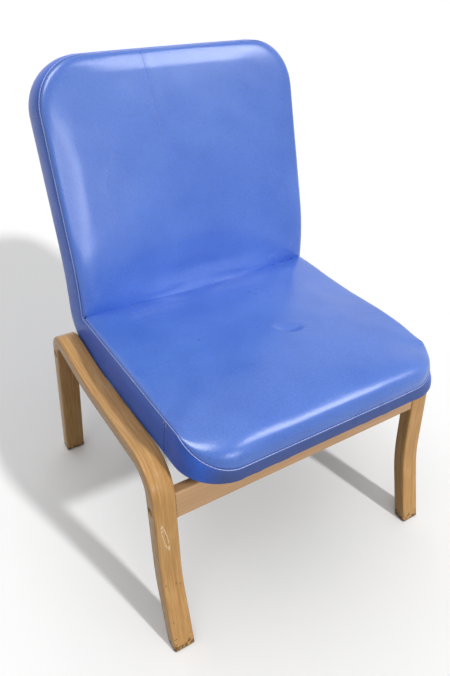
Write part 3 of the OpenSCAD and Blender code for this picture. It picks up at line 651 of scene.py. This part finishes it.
def backLeanAt(l):
    return uph["lowLean"] + leanTurn * max(0, min(1, (l - arcStart) / arcLength))


def backPoint(x, l, n):
    # x, length l up from the joint, and n in front of the seam line
    lean = backLeanAt(l)
    if l < arcStart:
        place = joint + l * upright(uph["lowLean"])
    else:
        low = uph["lowLean"]
        place = (arcFoot + uph["lumbarR"] * Vector((math.cos(low) - math.cos(lean),
                                                    math.sin(lean) - math.sin(low)))
                 + max(0, l - arcStart - arcLength) * upright(uph["backLean"]))
    return Vector((x, place.x - n * math.cos(lean), place.y + n * math.sin(lean)))


def quarter(cx, cy, r, start):
    # a quarter of a circle round (cx, cy), turning left from the angle start
    steps = uph["cornerSteps"]
    return [Vector((cx + r * math.cos(start + math.pi / 2 * k / steps),
                    cy + r * math.sin(start + math.pi / 2 * k / steps)))
            for k in range(steps + 1)]


def seatOutline(inset=0):
    # seen from above: down the left side, round the front and up the right side
    w, f, r = half - inset, uph["front"] - inset, uph["corner"] - inset
    return ([Vector((-w, uph["jointY"]))] + quarter(r - w, r - f, r, math.pi)
            + quarter(w - r, r - f, r, math.pi * 1.5) + [Vector((w, uph["jointY"]))])


def backOutline(inset=0):
    # seen square on: up the right side, round the top and down the left side
    w, h, r = half - inset, backLength - inset, uph["topCorner"] - inset
    return ([Vector((w, 0))] + quarter(w - r, h - r, r, 0) + quarter(r - w, h - r, r, math.pi / 2)
            + [Vector((-w, 0))])


def rolled(s, roll, power):
    # 1 on the flat part, falling over a soft edge to 0 at the seam
    return 1 if s <= 1 - roll else max(0, 1 - ((s - 1 + roll) / roll) ** power) ** (1 / power)


def smooth(t):
    t = max(0, min(1, t))
    return t * t * (3 - 2 * t)


def hump(d, wide):
    # 1 at d = 0, falling away on both sides
    return math.exp(-(d / wide) ** 2)


# rings of a pad from its middle out to the seam, close together where it rolls over, and how
# firmly the seam holds the last of them
padScales = [0, 0.08, 0.16, 0.24, 0.32, 0.40, 0.475, 0.545, 0.61, 0.665, 0.715, 0.76, 0.80, 0.835,
             0.865, 0.89, 0.912, 0.931, 0.947, 0.96, 0.971, 0.98, 0.988, 0.995, 1]
heldShares = (1, 1, 0.8, 0.5, 0.2)
seatPad = {"edgeRise": 0.009, "frontRise": 0.003, "crown": 0.017, "roll": 0.20, "frontRoll": 0.27,
           "backRoll": 0.10, "power": 2.6, "deep": 0.050, "wall": 0.002, "pressure": 0.8,
           "cap": 0.002, "uneven": (9, 0.0010, 23, 0.0005), "from": (3, 1, 0)}
backPad = {"edgeRise": 0.010, "crown": 0.016, "roll": 0.16, "topRoll": 0.09, "power": 2.3,
           "deep": 0.050, "wall": 0.002, "pressure": 0.5, "cap": 0.001,
           "uneven": (8, 0.0012, 21, 0.0005), "from": (0, 4, 2)}
padBase = 0.97          # size of a pad's hidden base beside its seam
padLevels = 2           # subdivision of a pad's grid
# where seat and back meet, the seam is drawn forward in the middle, and above it the back curves
# forward out of a shallow hollow
meetingLine = {"forward": 0.003, "foot": 0.027, "reach": 0.050, "hollow": 0.014,
               "hollowLong": 0.11, "soft": 0.03}
# the foam's cover as cloth, while the foam swells into it
foamCover = {"quality": 6, "mass": 0.4, "stretch": 25, "shear": 15, "bend": 1.5, "steps": 20}


def fourSides(outline):
    # the outline cut at its two sharp corners and in the middle of its two round ones
    middle = (len(outline) - 2) // 4
    first, second = 1 + middle, len(outline) - 2 - middle
    return (outline[:first + 1], outline[first:second + 1], outline[second:],
            [outline[-1], outline[0]])


def padMesh(name, outline, place):
    # a closed form on a square grid, so that it has no poles: crown, short wall and base
    rings = len(padScales) - 1
    sides = fourSides(outline)
    points, index, edge, near = [], {}, [], []

    def outlinePoint(i, j):
        k = max(abs(i), abs(j))
        if i == -k and j < k:
            side, share = 0, (j + k) / (2 * k)
        elif j == k and i < k:
            side, share = 1, (i + k) / (2 * k)
        elif i == k and j > -k:
            side, share = 2, (k - j) / (2 * k)
        else:
            side, share = 3, (k - i) / (2 * k)
        return alongLine(sides[side], share)

    grid = [(i, j) for i in range(-rings, rings + 1) for j in range(-rings, rings + 1)]
    for layer in ("crown", "base"):
        for i, j in grid:
            k = max(abs(i), abs(j))
            q = outlinePoint(i, j) if k else sides[0][0]
            index[layer, i, j] = len(points)
            points.append(place(q, padScales[k] * (padBase if layer == "base" else 1), layer))
            near.append((points[-1] - place(q, 1, layer)).length if layer == "crown" else 0)
    upwards, downwards = range(-rings, rings), range(rings, -rings, -1)
    rim = ([(-rings, j) for j in upwards] + [(i, rings) for i in upwards]
           + [(rings, j) for j in downwards] + [(i, -rings) for i in downwards])
    for i, j in rim:
        edge.append(len(points))
        points.append(place(outlinePoint(i, j), 1, "wall"))
    faces = []
    for layer in ("crown", "base"):
        for i in range(-rings, rings):
            for j in range(-rings, rings):
                face = [index[layer, i, j], index[layer, i + 1, j], index[layer, i + 1, j + 1],
                        index[layer, i, j + 1]]
                faces.append(face if layer == "crown" else face[::-1])
    for n, (i, j) in enumerate(rim):
        m = (n + 1) % len(rim)
        i2, j2 = rim[m]
        faces.append([index["crown", i, j], index["crown", i2, j2], edge[m], edge[n]])
        faces.append([edge[n], edge[m], index["base", i2, j2], index["base", i, j]])
    piece = newPiece(name, points, faces)
    seamGap = piece.data.attributes.new("seamGap", "FLOAT", "POINT")
    seamGap.data.foreach_set("value", near + [0] * len(edge))
    held = piece.vertex_groups.new(name="held")
    held.add(edge + [index["base", i, j] for i, j in grid], 1, "REPLACE")
    for i, j in grid:
        k = max(abs(i), abs(j))
        if rings - k < len(heldShares):
            held.add([index["crown", i, j]], heldShares[rings - k], "REPLACE")
    tidyMesh(piece, 60)
    return piece


def swell(piece, part):
    # foam pushing into its cover, each point moving no further than the cap
    start = [vertex.co.copy() for vertex in piece.data.vertices]
    cloth = piece.modifiers.new("swell", "CLOTH")
    settings = cloth.settings
    settings.quality = foamCover["quality"]
    settings.mass = foamCover["mass"]
    settings.tension_stiffness = settings.compression_stiffness = foamCover["stretch"]
    settings.shear_stiffness = foamCover["shear"]
    settings.bending_stiffness = foamCover["bend"]
    settings.use_pressure = True
    settings.uniform_pressure_force = part["pressure"]
    settings.vertex_group_mass = "held"
    settings.effector_weights.gravity = 0
    cloth.collision_settings.use_collision = False
    cloth.point_cache.frame_start, cloth.point_cache.frame_end = 1, foamCover["steps"]
    for step in range(foamCover["steps"]):
        bpy.context.scene.frame_set(step + 1)
    applyModifiers(piece)
    bpy.context.scene.frame_set(1)
    for vertex, was in zip(piece.data.vertices, start):
        move = vertex.co - was
        if move.length > part["cap"]:
            vertex.co = was + move * (part["cap"] / move.length)


def subdivide(piece):
    finer = piece.modifiers.new("finer", "SUBSURF")
    finer.levels = finer.render_levels = padLevels
    applyModifiers(piece)


def middling(x):
    # 1 in the chair's middle, 0 at its sides
    u = min(1, abs(x) / half)
    return (1 - u * u) ** 2


def footOfBack(x, l):
    # how far the surface near the common edge stands in front of its plain form
    ramp = max(0, 1 - l / meetingLine["reach"]) ** 1.5
    return middling(x) * (meetingLine["foot"] * ramp
                          - meetingLine["hollow"] * hump(l, meetingLine["hollowLong"]))


def seatPlace(q, s, layer):
    y = uph["seatMiddle"] + s * (q.y - uph["seatMiddle"])
    x = s * q.x
    if layer == "base":
        return Vector((x, y, seamPlane(y) - seatPad["deep"]))
    front = smooth((uph["seatMiddle"] - q.y) / (uph["seatMiddle"] + uph["front"]))
    roll = seatPad["roll"] + (seatPad["frontRoll"] - seatPad["roll"]) * front
    onBack = smooth((q.y - uph["jointY"]) / meetingLine["soft"] + 1)
    roll += (seatPad["backRoll"] - roll) * onBack
    full = rolled(s, roll, seatPad["power"])
    edgeRise = seatPad["edgeRise"] + (seatPad["frontRise"] - seatPad["edgeRise"]) * front
    rise = full * (edgeRise + (seatPad["crown"] - edgeRise) * (1 - s * s))
    if layer == "wall":
        rise = -seatPad["wall"]
    y -= ((meetingLine["forward"] * middling(x) + footOfBack(x, 0))
          * math.exp((y - uph["jointY"]) / meetingLine["soft"]))
    return Vector((x, y, seamPlane(y) + rise - (seamPlane(q.y) - seamHeight(q.y)) * (1 - full)))


def backPlace(q, s, layer):
    l = backLength / 2 + s * (q.y - backLength / 2)
    x = s * q.x
    if layer == "base":
        return backPoint(x, l, -backPad["deep"])
    top = smooth(2 * q.y / backLength - 1)
    roll = backPad["roll"] + (backPad["topRoll"] - backPad["roll"]) * top
    full = rolled(s, roll, backPad["power"])
    rise = full * (backPad["edgeRise"] + (backPad["crown"] - backPad["edgeRise"]) * (1 - s * s))
    # along the common edge the foam isn't rolled over
    low = smooth(1 - q.y / meetingLine["soft"])
    rise += low * (1 - full) * meetingLine["forward"] * middling(x) + footOfBack(x, l)
    return backPoint(x, l, rise - (backPad["wall"] if layer == "wall" else 0))


def pushAlongNormals(piece, amount):
    # amount(point, normal) is how far each point moves out
    piece.data.update()
    moves = [(vertex, vertex.normal * amount(vertex.co, vertex.normal))
             for vertex in piece.data.vertices]
    for vertex, move in moves:
        vertex.co += move


# a dent left by use near the seat's middle, bent like a bow, with a ridge and a basin round it
dent = {"x": 0.038, "y": -0.109, "long": 0.017, "wide": 0.0085, "deep": 0.0062, "bow": 8,
        "turn": math.radians(-28), "ridge": 0.0006, "ridgeAt": 1.7, "ridgeWide": 0.5,
        "basin": 0.0015, "basinWide": 0.05}
# a slack fold that runs down the back from its top edge, with a low lip on its right
fold = {"x": -0.0475, "slant": -0.085, "from": 0.252, "deep": 0.0001, "wide": 0.004,
        "lip": 0.0003, "lipWide": 0.010, "aside": 0.011, "fades": 0.245, "fadesOver": 0.07}


def unevenness(p, part):
    broad, broadRise, fine, fineRise = part["uneven"]
    return (noise.noise(p * broad) * broadRise
            + noise.noise(p * fine + Vector(part["from"])) * fineRise)


def seatShape(p, normal):
    # only what faces up is shaped
    if normal.z < 0.2:
        return 0
    dx, dy = p.x - dent["x"], p.y - dent["y"]
    c, s = math.cos(dent["turn"]), math.sin(dent["turn"])
    u, v = dx * c + dy * s, -dx * s + dy * c
    v -= dent["bow"] * u * u
    r = math.hypot(u / dent["long"], v / dent["wide"])
    return (unevenness(p, seatPad) - dent["deep"] * hump(r, 1)
            + dent["ridge"] * hump(r - dent["ridgeAt"], dent["ridgeWide"])
            - dent["basin"] * hump(math.hypot(dx, dy), dent["basinWide"]))


def backShape(p, normal):
    # only what faces the sitter is shaped
    if normal.y > -0.2:
        return 0
    # length up the back, near enough along its mean lean
    l = (Vector((p.y, p.z)) - joint).dot(upright(uph["backLean"] * 0.75))
    strength = smooth((l - fold["fades"]) / fold["fadesOver"])
    d = p.x - fold["x"] - fold["slant"] * (l - fold["from"])
    return unevenness(p, backPad) + strength * (
        fold["lip"] * hump(d - fold["aside"], fold["lipWide"])
        - fold["deep"] * hump(d, fold["wide"]))


# the used seat has sunk a little along its right edge, and its right front corner has drawn in
sunk = {"deep": 0.008, "middle": -0.08, "long": 0.17, "fades": 0.12, "corner": 0.012,
        "cornerY": -0.235, "cornerLong": 0.055, "from": 0.02, "drawn": 0.0049, "drawnWide": 0.10,
        "cornerIn": 0.02, "past": 0.001}
rightCorner = Vector((half - sunk["cornerIn"], sunk["cornerIn"] - uph["front"]))


def settled(p):
    if p.y > uph["jointY"] + sunk["past"]:
        return p
    across = smooth((p.x - sunk["from"]) / (half - sunk["from"]))
    down = (sunk["deep"] * hump(p.y - sunk["middle"], sunk["long"])
            * smooth((uph["jointY"] - p.y) / sunk["fades"])
            + sunk["corner"] * hump(p.y - sunk["cornerY"], sunk["cornerLong"]))
    drawn = sunk["drawn"] * hump((p.xy - rightCorner).length, sunk["drawnWide"])
    # what is sewn moves in full, and what is fixed to the shell's edge stays
    high = smooth((p.z - bottomZ(p.y)) / (seamHeight(p.y) - bottomZ(p.y)))
    return p + Vector((-drawn, drawn, -down * across)) * high


def settlePiece(piece):
    for vertex in piece.data.vertices:
        vertex.co = settled(vertex.co)


for name, outline, place, part, shape, nodes in (
        ("seatPad", seatOutline(), seatPlace, seatPad, seatShape, ("seat_foam", "seat_cover")),
        ("backPad", backOutline(), backPlace, backPad, backShape, ("back_foam", "back_cover"))):
    pad = padMesh(name, outline, place)
    swell(pad, part)
    subdivide(pad)
    pushAlongNormals(pad, shape)
    if name == "seatPad":
        settlePiece(pad)
    activate(pad)
    bpy.ops.object.shade_smooth_by_angle(angle=math.radians(60))
    finishPiece(pad, padVinyl, "vinyl", *nodes)
print("pads made")

# boxing: strips of cover between the seam and the shell's edge, slightly bulged by the foam
boxing = {"thick": 0.0011, "bulge": 0.0028, "columns": 10, "under": 0.010, "round": 0.003,
          "roundSteps": 4, "low": 0.003, "hem": 0.0014, "fuller": 0.9, "seatRows": 30,
          "heelRows": 12, "backRows": 36, "wrapRows": 5, "lowRows": 8, "pitch": 0.008}
panelSpare = 1.02       # a panel is cut this much larger than the strip that shows


def boxingRow(inner, outer, way, wrap, low, fuller=1):
    # from the seam over the bulged foam; where wrap is 1, round the shell's edge and under it
    down = (outer - inner).normalized()
    row = []
    for k in range(boxing["columns"] + 1):
        v = k / boxing["columns"]
        free = math.sin(math.pi * v) ** 0.6
        bulge = free * (1 - wrap) + wrap * math.sin(math.pi / 2 * min(1, v * 1.6)) ** 0.7
        row.append(inner.lerp(outer, v) + way * boxing["bulge"] * bulge * fuller)
    r = boxing["round"] * wrap
    centre = outer + way * (boxing["bulge"] * wrap - r) + down * (low * wrap - r)
    for k in range(1, boxing["roundSteps"] + 1):
        turn = math.pi / 2 * k / boxing["roundSteps"]
        row.append(centre + way * r * math.cos(turn) + down * r * math.sin(turn))
    row.append(outer - way * boxing["under"] * wrap + down * (boxing["hem"] * wrap))
    if wrap > 0.5:
        # the flat part ends where the round begins
        row[boxing["columns"]] = centre + way * r
    return row


def facesOut(piece, middle, way):
    # turn the sheet over if the face nearest to a place looks the wrong way
    near = min(piece.data.polygons, key=lambda face: (face.center - middle).length)
    if near.normal.dot(way) < 0:
        activate(piece)
        bpy.ops.object.mode_set(mode="EDIT")
        bpy.ops.mesh.select_all(action="SELECT")
        bpy.ops.mesh.flip_normals()
        bpy.ops.object.mode_set(mode="OBJECT")


def sheetPiece(name, rows, part, middle, way, offset=-1):
    # a sheet of cloth through rows of points; its area is measured before it gets its thickness
    count = len(rows[0])
    faces = [(a, a + 1, a + count + 1, a + count) for i in range(len(rows) - 1)
             for a in range(i * count, i * count + count - 1)]
    piece = newPiece(name, [point for row in rows for point in row], faces)
    tidyMesh(piece, 50)
    facesOut(piece, middle, way)
    area = sum(face.area for face in piece.data.polygons)
    wall = piece.modifiers.new("wall", "SOLIDIFY")
    wall.thickness = part["thick"]
    wall.offset = offset
    applyModifiers(piece)
    bpy.ops.object.shade_smooth_by_angle(angle=math.radians(50))
    return piece, area


def heelArc(deeper, step):
    # round the heel in the side view, deeper than the shell's edge; also its sharp corner
    low = uph["lowLean"]
    base = Vector((0, bottomZ(0) - deeper / math.cos(uph["tilt"])))
    rear = joint + (uph["boxing"] + deeper) * Vector((math.cos(low), -math.sin(low)))
    corner = meeting(base, seatWay, rear, upright(low))
    path = [base, corner, rear + upright(low)]
    return roundedPath(path, [0, uph["heelR"] + deeper, 0], step)[1:-1], corner


def sideRows(side):
    # along the seat's side, round the heel and up the back's side
    x = side * half
    way = Vector((side, 0, 0))
    seat, steps, rows = boxing["seatRows"], boxing["backRows"], []
    arc = heelArc(0, math.pi / 2 / boxing["heelRows"])[0]
    start = Vector((uph["boxingCut"], bottomZ(uph["boxingCut"])))
    for k in range(seat + 1):
        y = uph["boxingCut"] + (uph["jointY"] - uph["boxingCut"]) * k / seat
        p = start.lerp(arc[0], k / seat)
        wrap = smooth((seat - k) / boxing["wrapRows"])
        rows.append(boxingRow(Vector((x, y, seamPlane(y))), Vector((x, p.x, p.y)), way, wrap,
                              boxing["low"] * smooth(k / boxing["lowRows"])))
    for p in arc[1:]:
        rows.append(boxingRow(Vector((x, joint.x, joint.y)), Vector((x, p.x, p.y)), way, 0, 0))
    for k in range(steps + 1):
        l = topCornerL * k / steps
        rows.append(boxingRow(backPoint(x, l, 0), backPoint(x, l, -uph["boxing"]), way, 0, 0))
    return rows


def outward(line, i):
    # square to the line, on its right
    along = line[min(i + 1, len(line) - 1)] - line[max(i - 1, 0)]
    return Vector((along.y, -along.x)).normalized()


def frontRows():
    cut = uph["boxingCut"]
    line = [p for p in seatOutline() if p.y < cut]
    line = evenly([Vector((-half, cut))] + line + [Vector((half, cut))], boxing["pitch"])
    return [boxingRow(Vector((p.x, p.y, seamHeight(p.y))), Vector((p.x, p.y, bottomZ(p.y))),
                      outward(line, i).to_3d(), 1, 0) for i, p in enumerate(line)]


def topRows():
    # fuller over the top than at its two ends
    line = [Vector((half, topCornerL))] + backOutline()[1:-1] + [Vector((-half, topCornerL))]
    line = evenly(line, boxing["pitch"])
    rows = []
    for i, p in enumerate(line):
        way, lean = outward(line, i), backLeanAt(p.y)
        way = Vector((way.x, way.y * math.sin(lean), way.y * math.cos(lean)))
        fuller = 1 + boxing["fuller"] * math.sin(math.pi * i / (len(line) - 1)) ** 0.5
        rows.append(boxingRow(backPoint(p.x, p.y, 0), backPoint(p.x, p.y, -uph["boxing"]), way,
                              0, 0, fuller))
    return rows


# each strip with a place near its middle and the way it looks there
strips = {
    "frontBoxing": ("front_boxing", frontRows(), (0, -uph["front"], 0.38), (0, -1, 0)),
    "topBoxing": ("top_boxing", topRows(), backPoint(0, backLength, -0.03), (0, 0, 1)),
    "sideBoxingLeft": ("side_boxing_left", sideRows(-1), (-half, 0, 0.37), (-1, 0, 0)),
    "sideBoxingRight": ("side_boxing_right", sideRows(1), (half, 0, 0.37), (1, 0, 0)),
}
for name, (node, rows, middle, way) in strips.items():
    piece, area = sheetPiece(name, rows, boxing, Vector(middle), Vector(way))
    settlePiece(piece)
    finishPiece(piece, boxingVinyl, "vinyl", node)
print("boxing made")

# outside back: one panel of the cover, from the top edge down round the heel
outsideBack = {"thick": 0.0012, "bulge": 0.0025, "columns": 40, "rows": 50, "hem": 0.014,
               "heelStep": math.radians(5)}


def shellBack():
    # the panel's line in the side view: round the heel, then up the back
    thick, rows = outsideBack["thick"], outsideBack["rows"]
    arc, corner = heelArc(thick, outsideBack["heelStep"])
    hemEnd = corner - (uph["heelR"] + thick + outsideBack["hem"]) * seatWay
    upper = [backPoint(0, backLength * k / rows, -uph["boxing"] - thick).yz
             for k in range(rows + 1)]
    return [hemEnd] + arc, upper


def outsideBackRows():
    arc, upper = shellBack()
    line = ([(p, 0) for p in arc]
            + [(p, backLength * k / outsideBack["rows"]) for k, p in enumerate(upper)])
    r = uph["topCorner"]
    rows = []
    for i, (p, l) in enumerate(line):
        # the last rows follow the rounded top corners
        over = max(0, l - (backLength - r))
        wide = half - r + math.sqrt(max(0, r * r - over * over))
        along = line[min(i + 1, len(line) - 1)][0] - line[max(i - 1, 0)][0]
        way = outward([Vector((0, 0)), along], 0)
        row = []
        for k in range(outsideBack["columns"] + 1):
            u = -1 + 2 * k / outsideBack["columns"]
            bulge = (outsideBack["bulge"] * (1 - u ** 4)
                     * math.sin(math.pi * i / (len(line) - 1)) ** 0.6)
            row.append(Vector((u * wide, p.x + way.x * bulge, p.y + way.y * bulge)))
        rows.append(row)
    return rows


cover, area = sheetPiece("outsideBackCover", outsideBackRows(), outsideBack,
                         backPoint(0, backLength / 2, -0.07), Vector((0, 1, 0)))
finishPiece(cover, outsideVinyl, "vinyl", "outside_back_cover")
print("outside back area", round(area, 5))

# seams: a folded edge with a row of stitches beside it. Radii, the stitches' pitch, and how far
# the fold stands out of the seam line, the thread above the fold and a joint out of the boxing
seam = {"fold": 0.0008, "joint": 0.0006, "thread": 0.00036, "heavyThread": 0.00054,
        "pitch": 0.0056, "out": 0.0003, "up": 0.0005, "threadUp": 0.0007, "threadOut": 0.0006,
        "jointOut": 0.0001}
# the folds where seat and back meet show near its two ends, in shares of half the width; up and
# ahead of the line in metres there, and sunk into the groove between, in Y and Z
junction = {"steps": 80, "shownFrom": 0.62, "shownOver": 0.3, "sunk": (0.004, -0.003),
            "folds": ((0.0035, 0.0010), (0.0012, 0.0045)), "groove": 0.0006}
# two stray stitches spread from the top of each joint in the boxing, one forward and one back
ticks = {"ends": ((0.0045, -0.0065), (-0.0055, -0.0060)), "starts": 0.15, "proud": 0.0014,
         "out": 0.0004, "below": 0.0005}


def tubes(name, lines, radius, material):
    # round cords along lines of points, as one piece
    curve = bpy.data.curves.new(name, "CURVE")
    curve.dimensions = "3D"
    curve.bevel_depth = radius
    curve.bevel_resolution = 2
    curve.use_fill_caps = True
    for points in lines:
        line = curve.splines.new("POLY")
        line.points.add(len(points) - 1)
        for point, place in zip(line.points, points):
            point.co = (*settled(place), 1)
    piece = bpy.data.objects.new(name, curve)
    bpy.context.scene.collection.objects.link(piece)
    activate(piece)
    bpy.ops.object.convert(target="MESH")
    piece = bpy.context.object
    tidyMesh(piece, 60)
    finishPiece(piece, material, "vinyl")


def stitches(line):
    # short dashes of thread along a line of points a quarter of a pitch apart
    return [[line[k], line[k + 1], line[k + 2]] for k in range(0, len(line) - 4, 4)]


seatLine = [Vector((p.x, p.y, seamHeight(p.y) + seam["up"]))
            for p in evenly(seatOutline(-seam["out"]), seam["pitch"] / 4)]
backLine = [backPoint(p.x, p.y, seam["out"])
            for p in evenly(backOutline(-seam["out"]), seam["pitch"] / 4)]
# the folds wear the paler vinyl painted as their highlight
tubes("seamFolds", [seatLine, backLine], seam["fold"], seamVinyl)
onSeat = [p + Vector((0, 0, seam["threadUp"])) for p in seatLine]
onBack = [p + (p - backPoint(0, backLength / 2, 0)).normalized() * seam["threadOut"]
          for p in backLine]
tubes("seamStitches", stitches(onSeat) + stitches(onBack), seam["thread"], thread)


def junctionLine(up, ahead, hidden):
    line, steps = [], junction["steps"]
    for k in range(steps + 1):
        x = half * (-1 + 2 * k / steps)
        y = uph["jointY"] - meetingLine["forward"] * middling(x) - footOfBack(x, 0)
        shown = smooth((abs(x) / half - junction["shownFrom"]) / junction["shownOver"])
        line.append(Vector((x, y - ahead * shown + hidden[0] * (1 - shown),
                            seamPlane(y) + up * shown + hidden[1] * (1 - shown))))
    return line


# the junction's folds wear the same paler vinyl, painted as their highlight
tubes("junctionFolds", [junctionLine(up, ahead, junction["sunk"])
                        for up, ahead in junction["folds"]], seam["fold"], seamVinyl)
# a thin dark cord in the junction's groove, as painted shade
groove = junction["groove"]
tubes("junctionGroove", [junctionLine(groove, groove, (-groove, groove))], seam["joint"],
      jointVinyl)


def boxingJoint(side):
    # where two panels of boxing are sewn together below the seat's seam
    y = uph["boxingCut"]
    row = boxingRow(Vector((side * half, y, seamHeight(y))), Vector((side * half, y, bottomZ(y))),
                    Vector((side, 0, 0)), 1, 0)
    return [p + Vector((side * seam["jointOut"], 0, 0)) for p in row[:-1]]


def jointTicks(side):
    y = uph["boxingCut"]
    top = Vector((side * (half + ticks["out"]), y, seamPlane(y) - ticks["below"]))
    return [[top + Vector((0, dy * ticks["starts"], 0)),
             top + Vector((side * ticks["proud"], dy, dz))] for dy, dz in ticks["ends"]]


# the boxing joints are dark cords of vinyl, painted as the shade in the joints
tubes("boxingJoints", [boxingJoint(-1), boxingJoint(1)], seam["joint"], jointVinyl)
tubes("jointStitches", jointTicks(-1) + jointTicks(1), seam["heavyThread"], thread)
print("seams made")

# black dust cloth stapled under the seat
dustCloth = {"inset": 0.0142, "cover": 0.0012, "thick": 0.0008, "sag": 0.0008, "below": 0.0002,
             "short": 0.001, "rows": 36}


def baseClothRows():
    part = dustCloth
    w = half - part["inset"]
    front = -uph["front"] + part["inset"] + part["cover"]
    back = shellBack()[0][0].x - part["short"]
    r = uph["corner"] - part["inset"]
    count, rows = part["rows"], []
    for j in range(count + 1):
        # closer together at the front, where the corners are round
        y = front + (back - front) * (j / count) ** 1.3
        over = max(0, front + r - y)
        wide = w - r + math.sqrt(max(0, r * r - over * over))
        row = []
        for i in range(count + 1):
            u = -1 + 2 * i / count
            sag = part["sag"] * (1 - u ** 4) * math.sin(math.pi * j / count) ** 0.7
            row.append(Vector((u * wide, y, bottomZ(y) - part["below"] - sag)))
        rows.append(row)
    return rows, (2 * w, (back - front) * panelSpare)


rows, flat = baseClothRows()
cloth, area = sheetPiece("baseCloth", rows, dustCloth, Vector((0, -0.1, 0.3)),
                         Vector((0, 0, -1)), offset=1)
finishPiece(cloth, spunCloth, "base_cloth", "base_cloth")

# parts whose own shape is right keep it and take a better finish
finishes = {
    "front_rail": beechRail, "rear_rail": beechRail, "rail_dowels": dowelWood,
    "connector_bolts": zinc, "cross_dowels": zinc, "glide_nails": zinc, "bracket_screws": zinc,
    "seat_bolts": zinc, "tee_nuts": zinc, "foot_glides": nylon, "seat_shell": birchPly,
    "bracket_front_left": bracketSteel, "bracket_front_right": bracketSteel,
    "bracket_rear_left": bracketSteel, "bracket_rear_right": bracketSteel,
}
for node, material in finishes.items():
    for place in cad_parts[node].material_slots:
        place.material = material
print("fittings finished")

# floor, background and light; the room lights the chair as one with a grey carpet would
studio = {"floor": "#FFFFFF", "carpet": "#6C6A68", "floorSize": 30, "floorDrop": 0.0004,
          "background": "#FFFFFF", "ambient": 0.25, "lampsAway": 2.5}
# soft lamps: the way to each, its width in degrees and its level on a white card that faces it;
# a matte lamp lights without a highlight, and a shine lamp is only seen as a highlight
lamps = {
    "keyLamp": {"way": (0.25, -0.73, 0.64), "wide": 4, "level": 0.58, "kind": "matte"},
    "leftLamp": {"way": (-0.40, -0.31, 0.86), "wide": 20, "level": 0.06, "kind": "matte"},
    "ceilingGlow": {"way": (0.00, 0.25, 0.97), "wide": 70, "level": 0.33, "kind": "matte"},
    "rightShine": {"way": (0.55, -0.56, 0.62), "wide": 22, "level": 0.46, "kind": "shine"},
    "keyShine": {"way": (0.30, -0.64, 0.70), "wide": 10, "level": 0.08, "kind": "shine"},
    "cornerShine": {"way": (-0.46, -0.20, 0.86), "wide": 34, "level": 0.95, "kind": "shine"},
    "frontShine": {"way": (0.00, -0.97, 0.24), "wide": 22, "level": 0.26, "kind": "shine"},
}


def softLamp(name, part):
    light = bpy.data.lights.new(name, "SUN")
    light.angle = math.radians(part["wide"])
    light.energy = math.pi * part["level"]
    lamp = bpy.data.objects.new(name, light)
    bpy.context.scene.collection.objects.link(lamp)
    lamp.visible_glossy = part["kind"] == "shine"
    lamp.visible_diffuse = part["kind"] == "matte"
    way = Vector(part["way"]).normalized()
    lamp.location = way * studio["lampsAway"]
    lamp.rotation_euler = way.to_track_quat("Z", "Y").to_euler()


for name, part in lamps.items():
    softLamp(name, part)


def seenDirectly(tree):
    # 1 where the camera, a reflection or clear material sees the surface, 0 where it lights others
    path = addNode(tree, "ShaderNodeLightPath").outputs
    seen = addNode(tree, "ShaderNodeMath",
                   {0: path["Is Camera Ray"], 1: path["Is Transmission Ray"]}, operation="MAXIMUM")
    return addNode(tree, "ShaderNodeMath", {0: seen, 1: path["Is Glossy Ray"]}, operation="MAXIMUM")


deselectAll()
bpy.ops.mesh.primitive_plane_add(size=studio["floorSize"], location=(0, 0, -studio["floorDrop"]))
floor = bpy.context.object
floor.name = "floor"
material, tree, shader = newMaterial("paleFloor", {"Roughness": 0.9})
shown = addNode(tree, "ShaderNodeMix",
                {"Factor": seenDirectly(tree), "A": linear(studio["carpet"]),
                 "B": linear(studio["floor"])}, data_type="RGBA")
setInputs(tree, shader, {"Base Color": shown.outputs["Result"]})
floor.data.materials.append(material)

world = bpy.data.worlds.new("studio")
bpy.context.scene.world = world
world.use_nodes = True
tree = world.node_tree
tree.nodes.clear()
ambient = addNode(tree, "ShaderNodeBackground",
                  {"Color": linear(studio["background"]), "Strength": studio["ambient"]})
white = addNode(tree, "ShaderNodeBackground",
                {"Color": linear(studio["background"]), "Strength": 1})
mixed = addNode(tree, "ShaderNodeMixShader", {0: seenDirectly(tree), 1: ambient, 2: white})
addNode(tree, "ShaderNodeOutputWorld", {"Surface": mixed})
bpy.context.scene.view_settings.view_transform = "Standard"
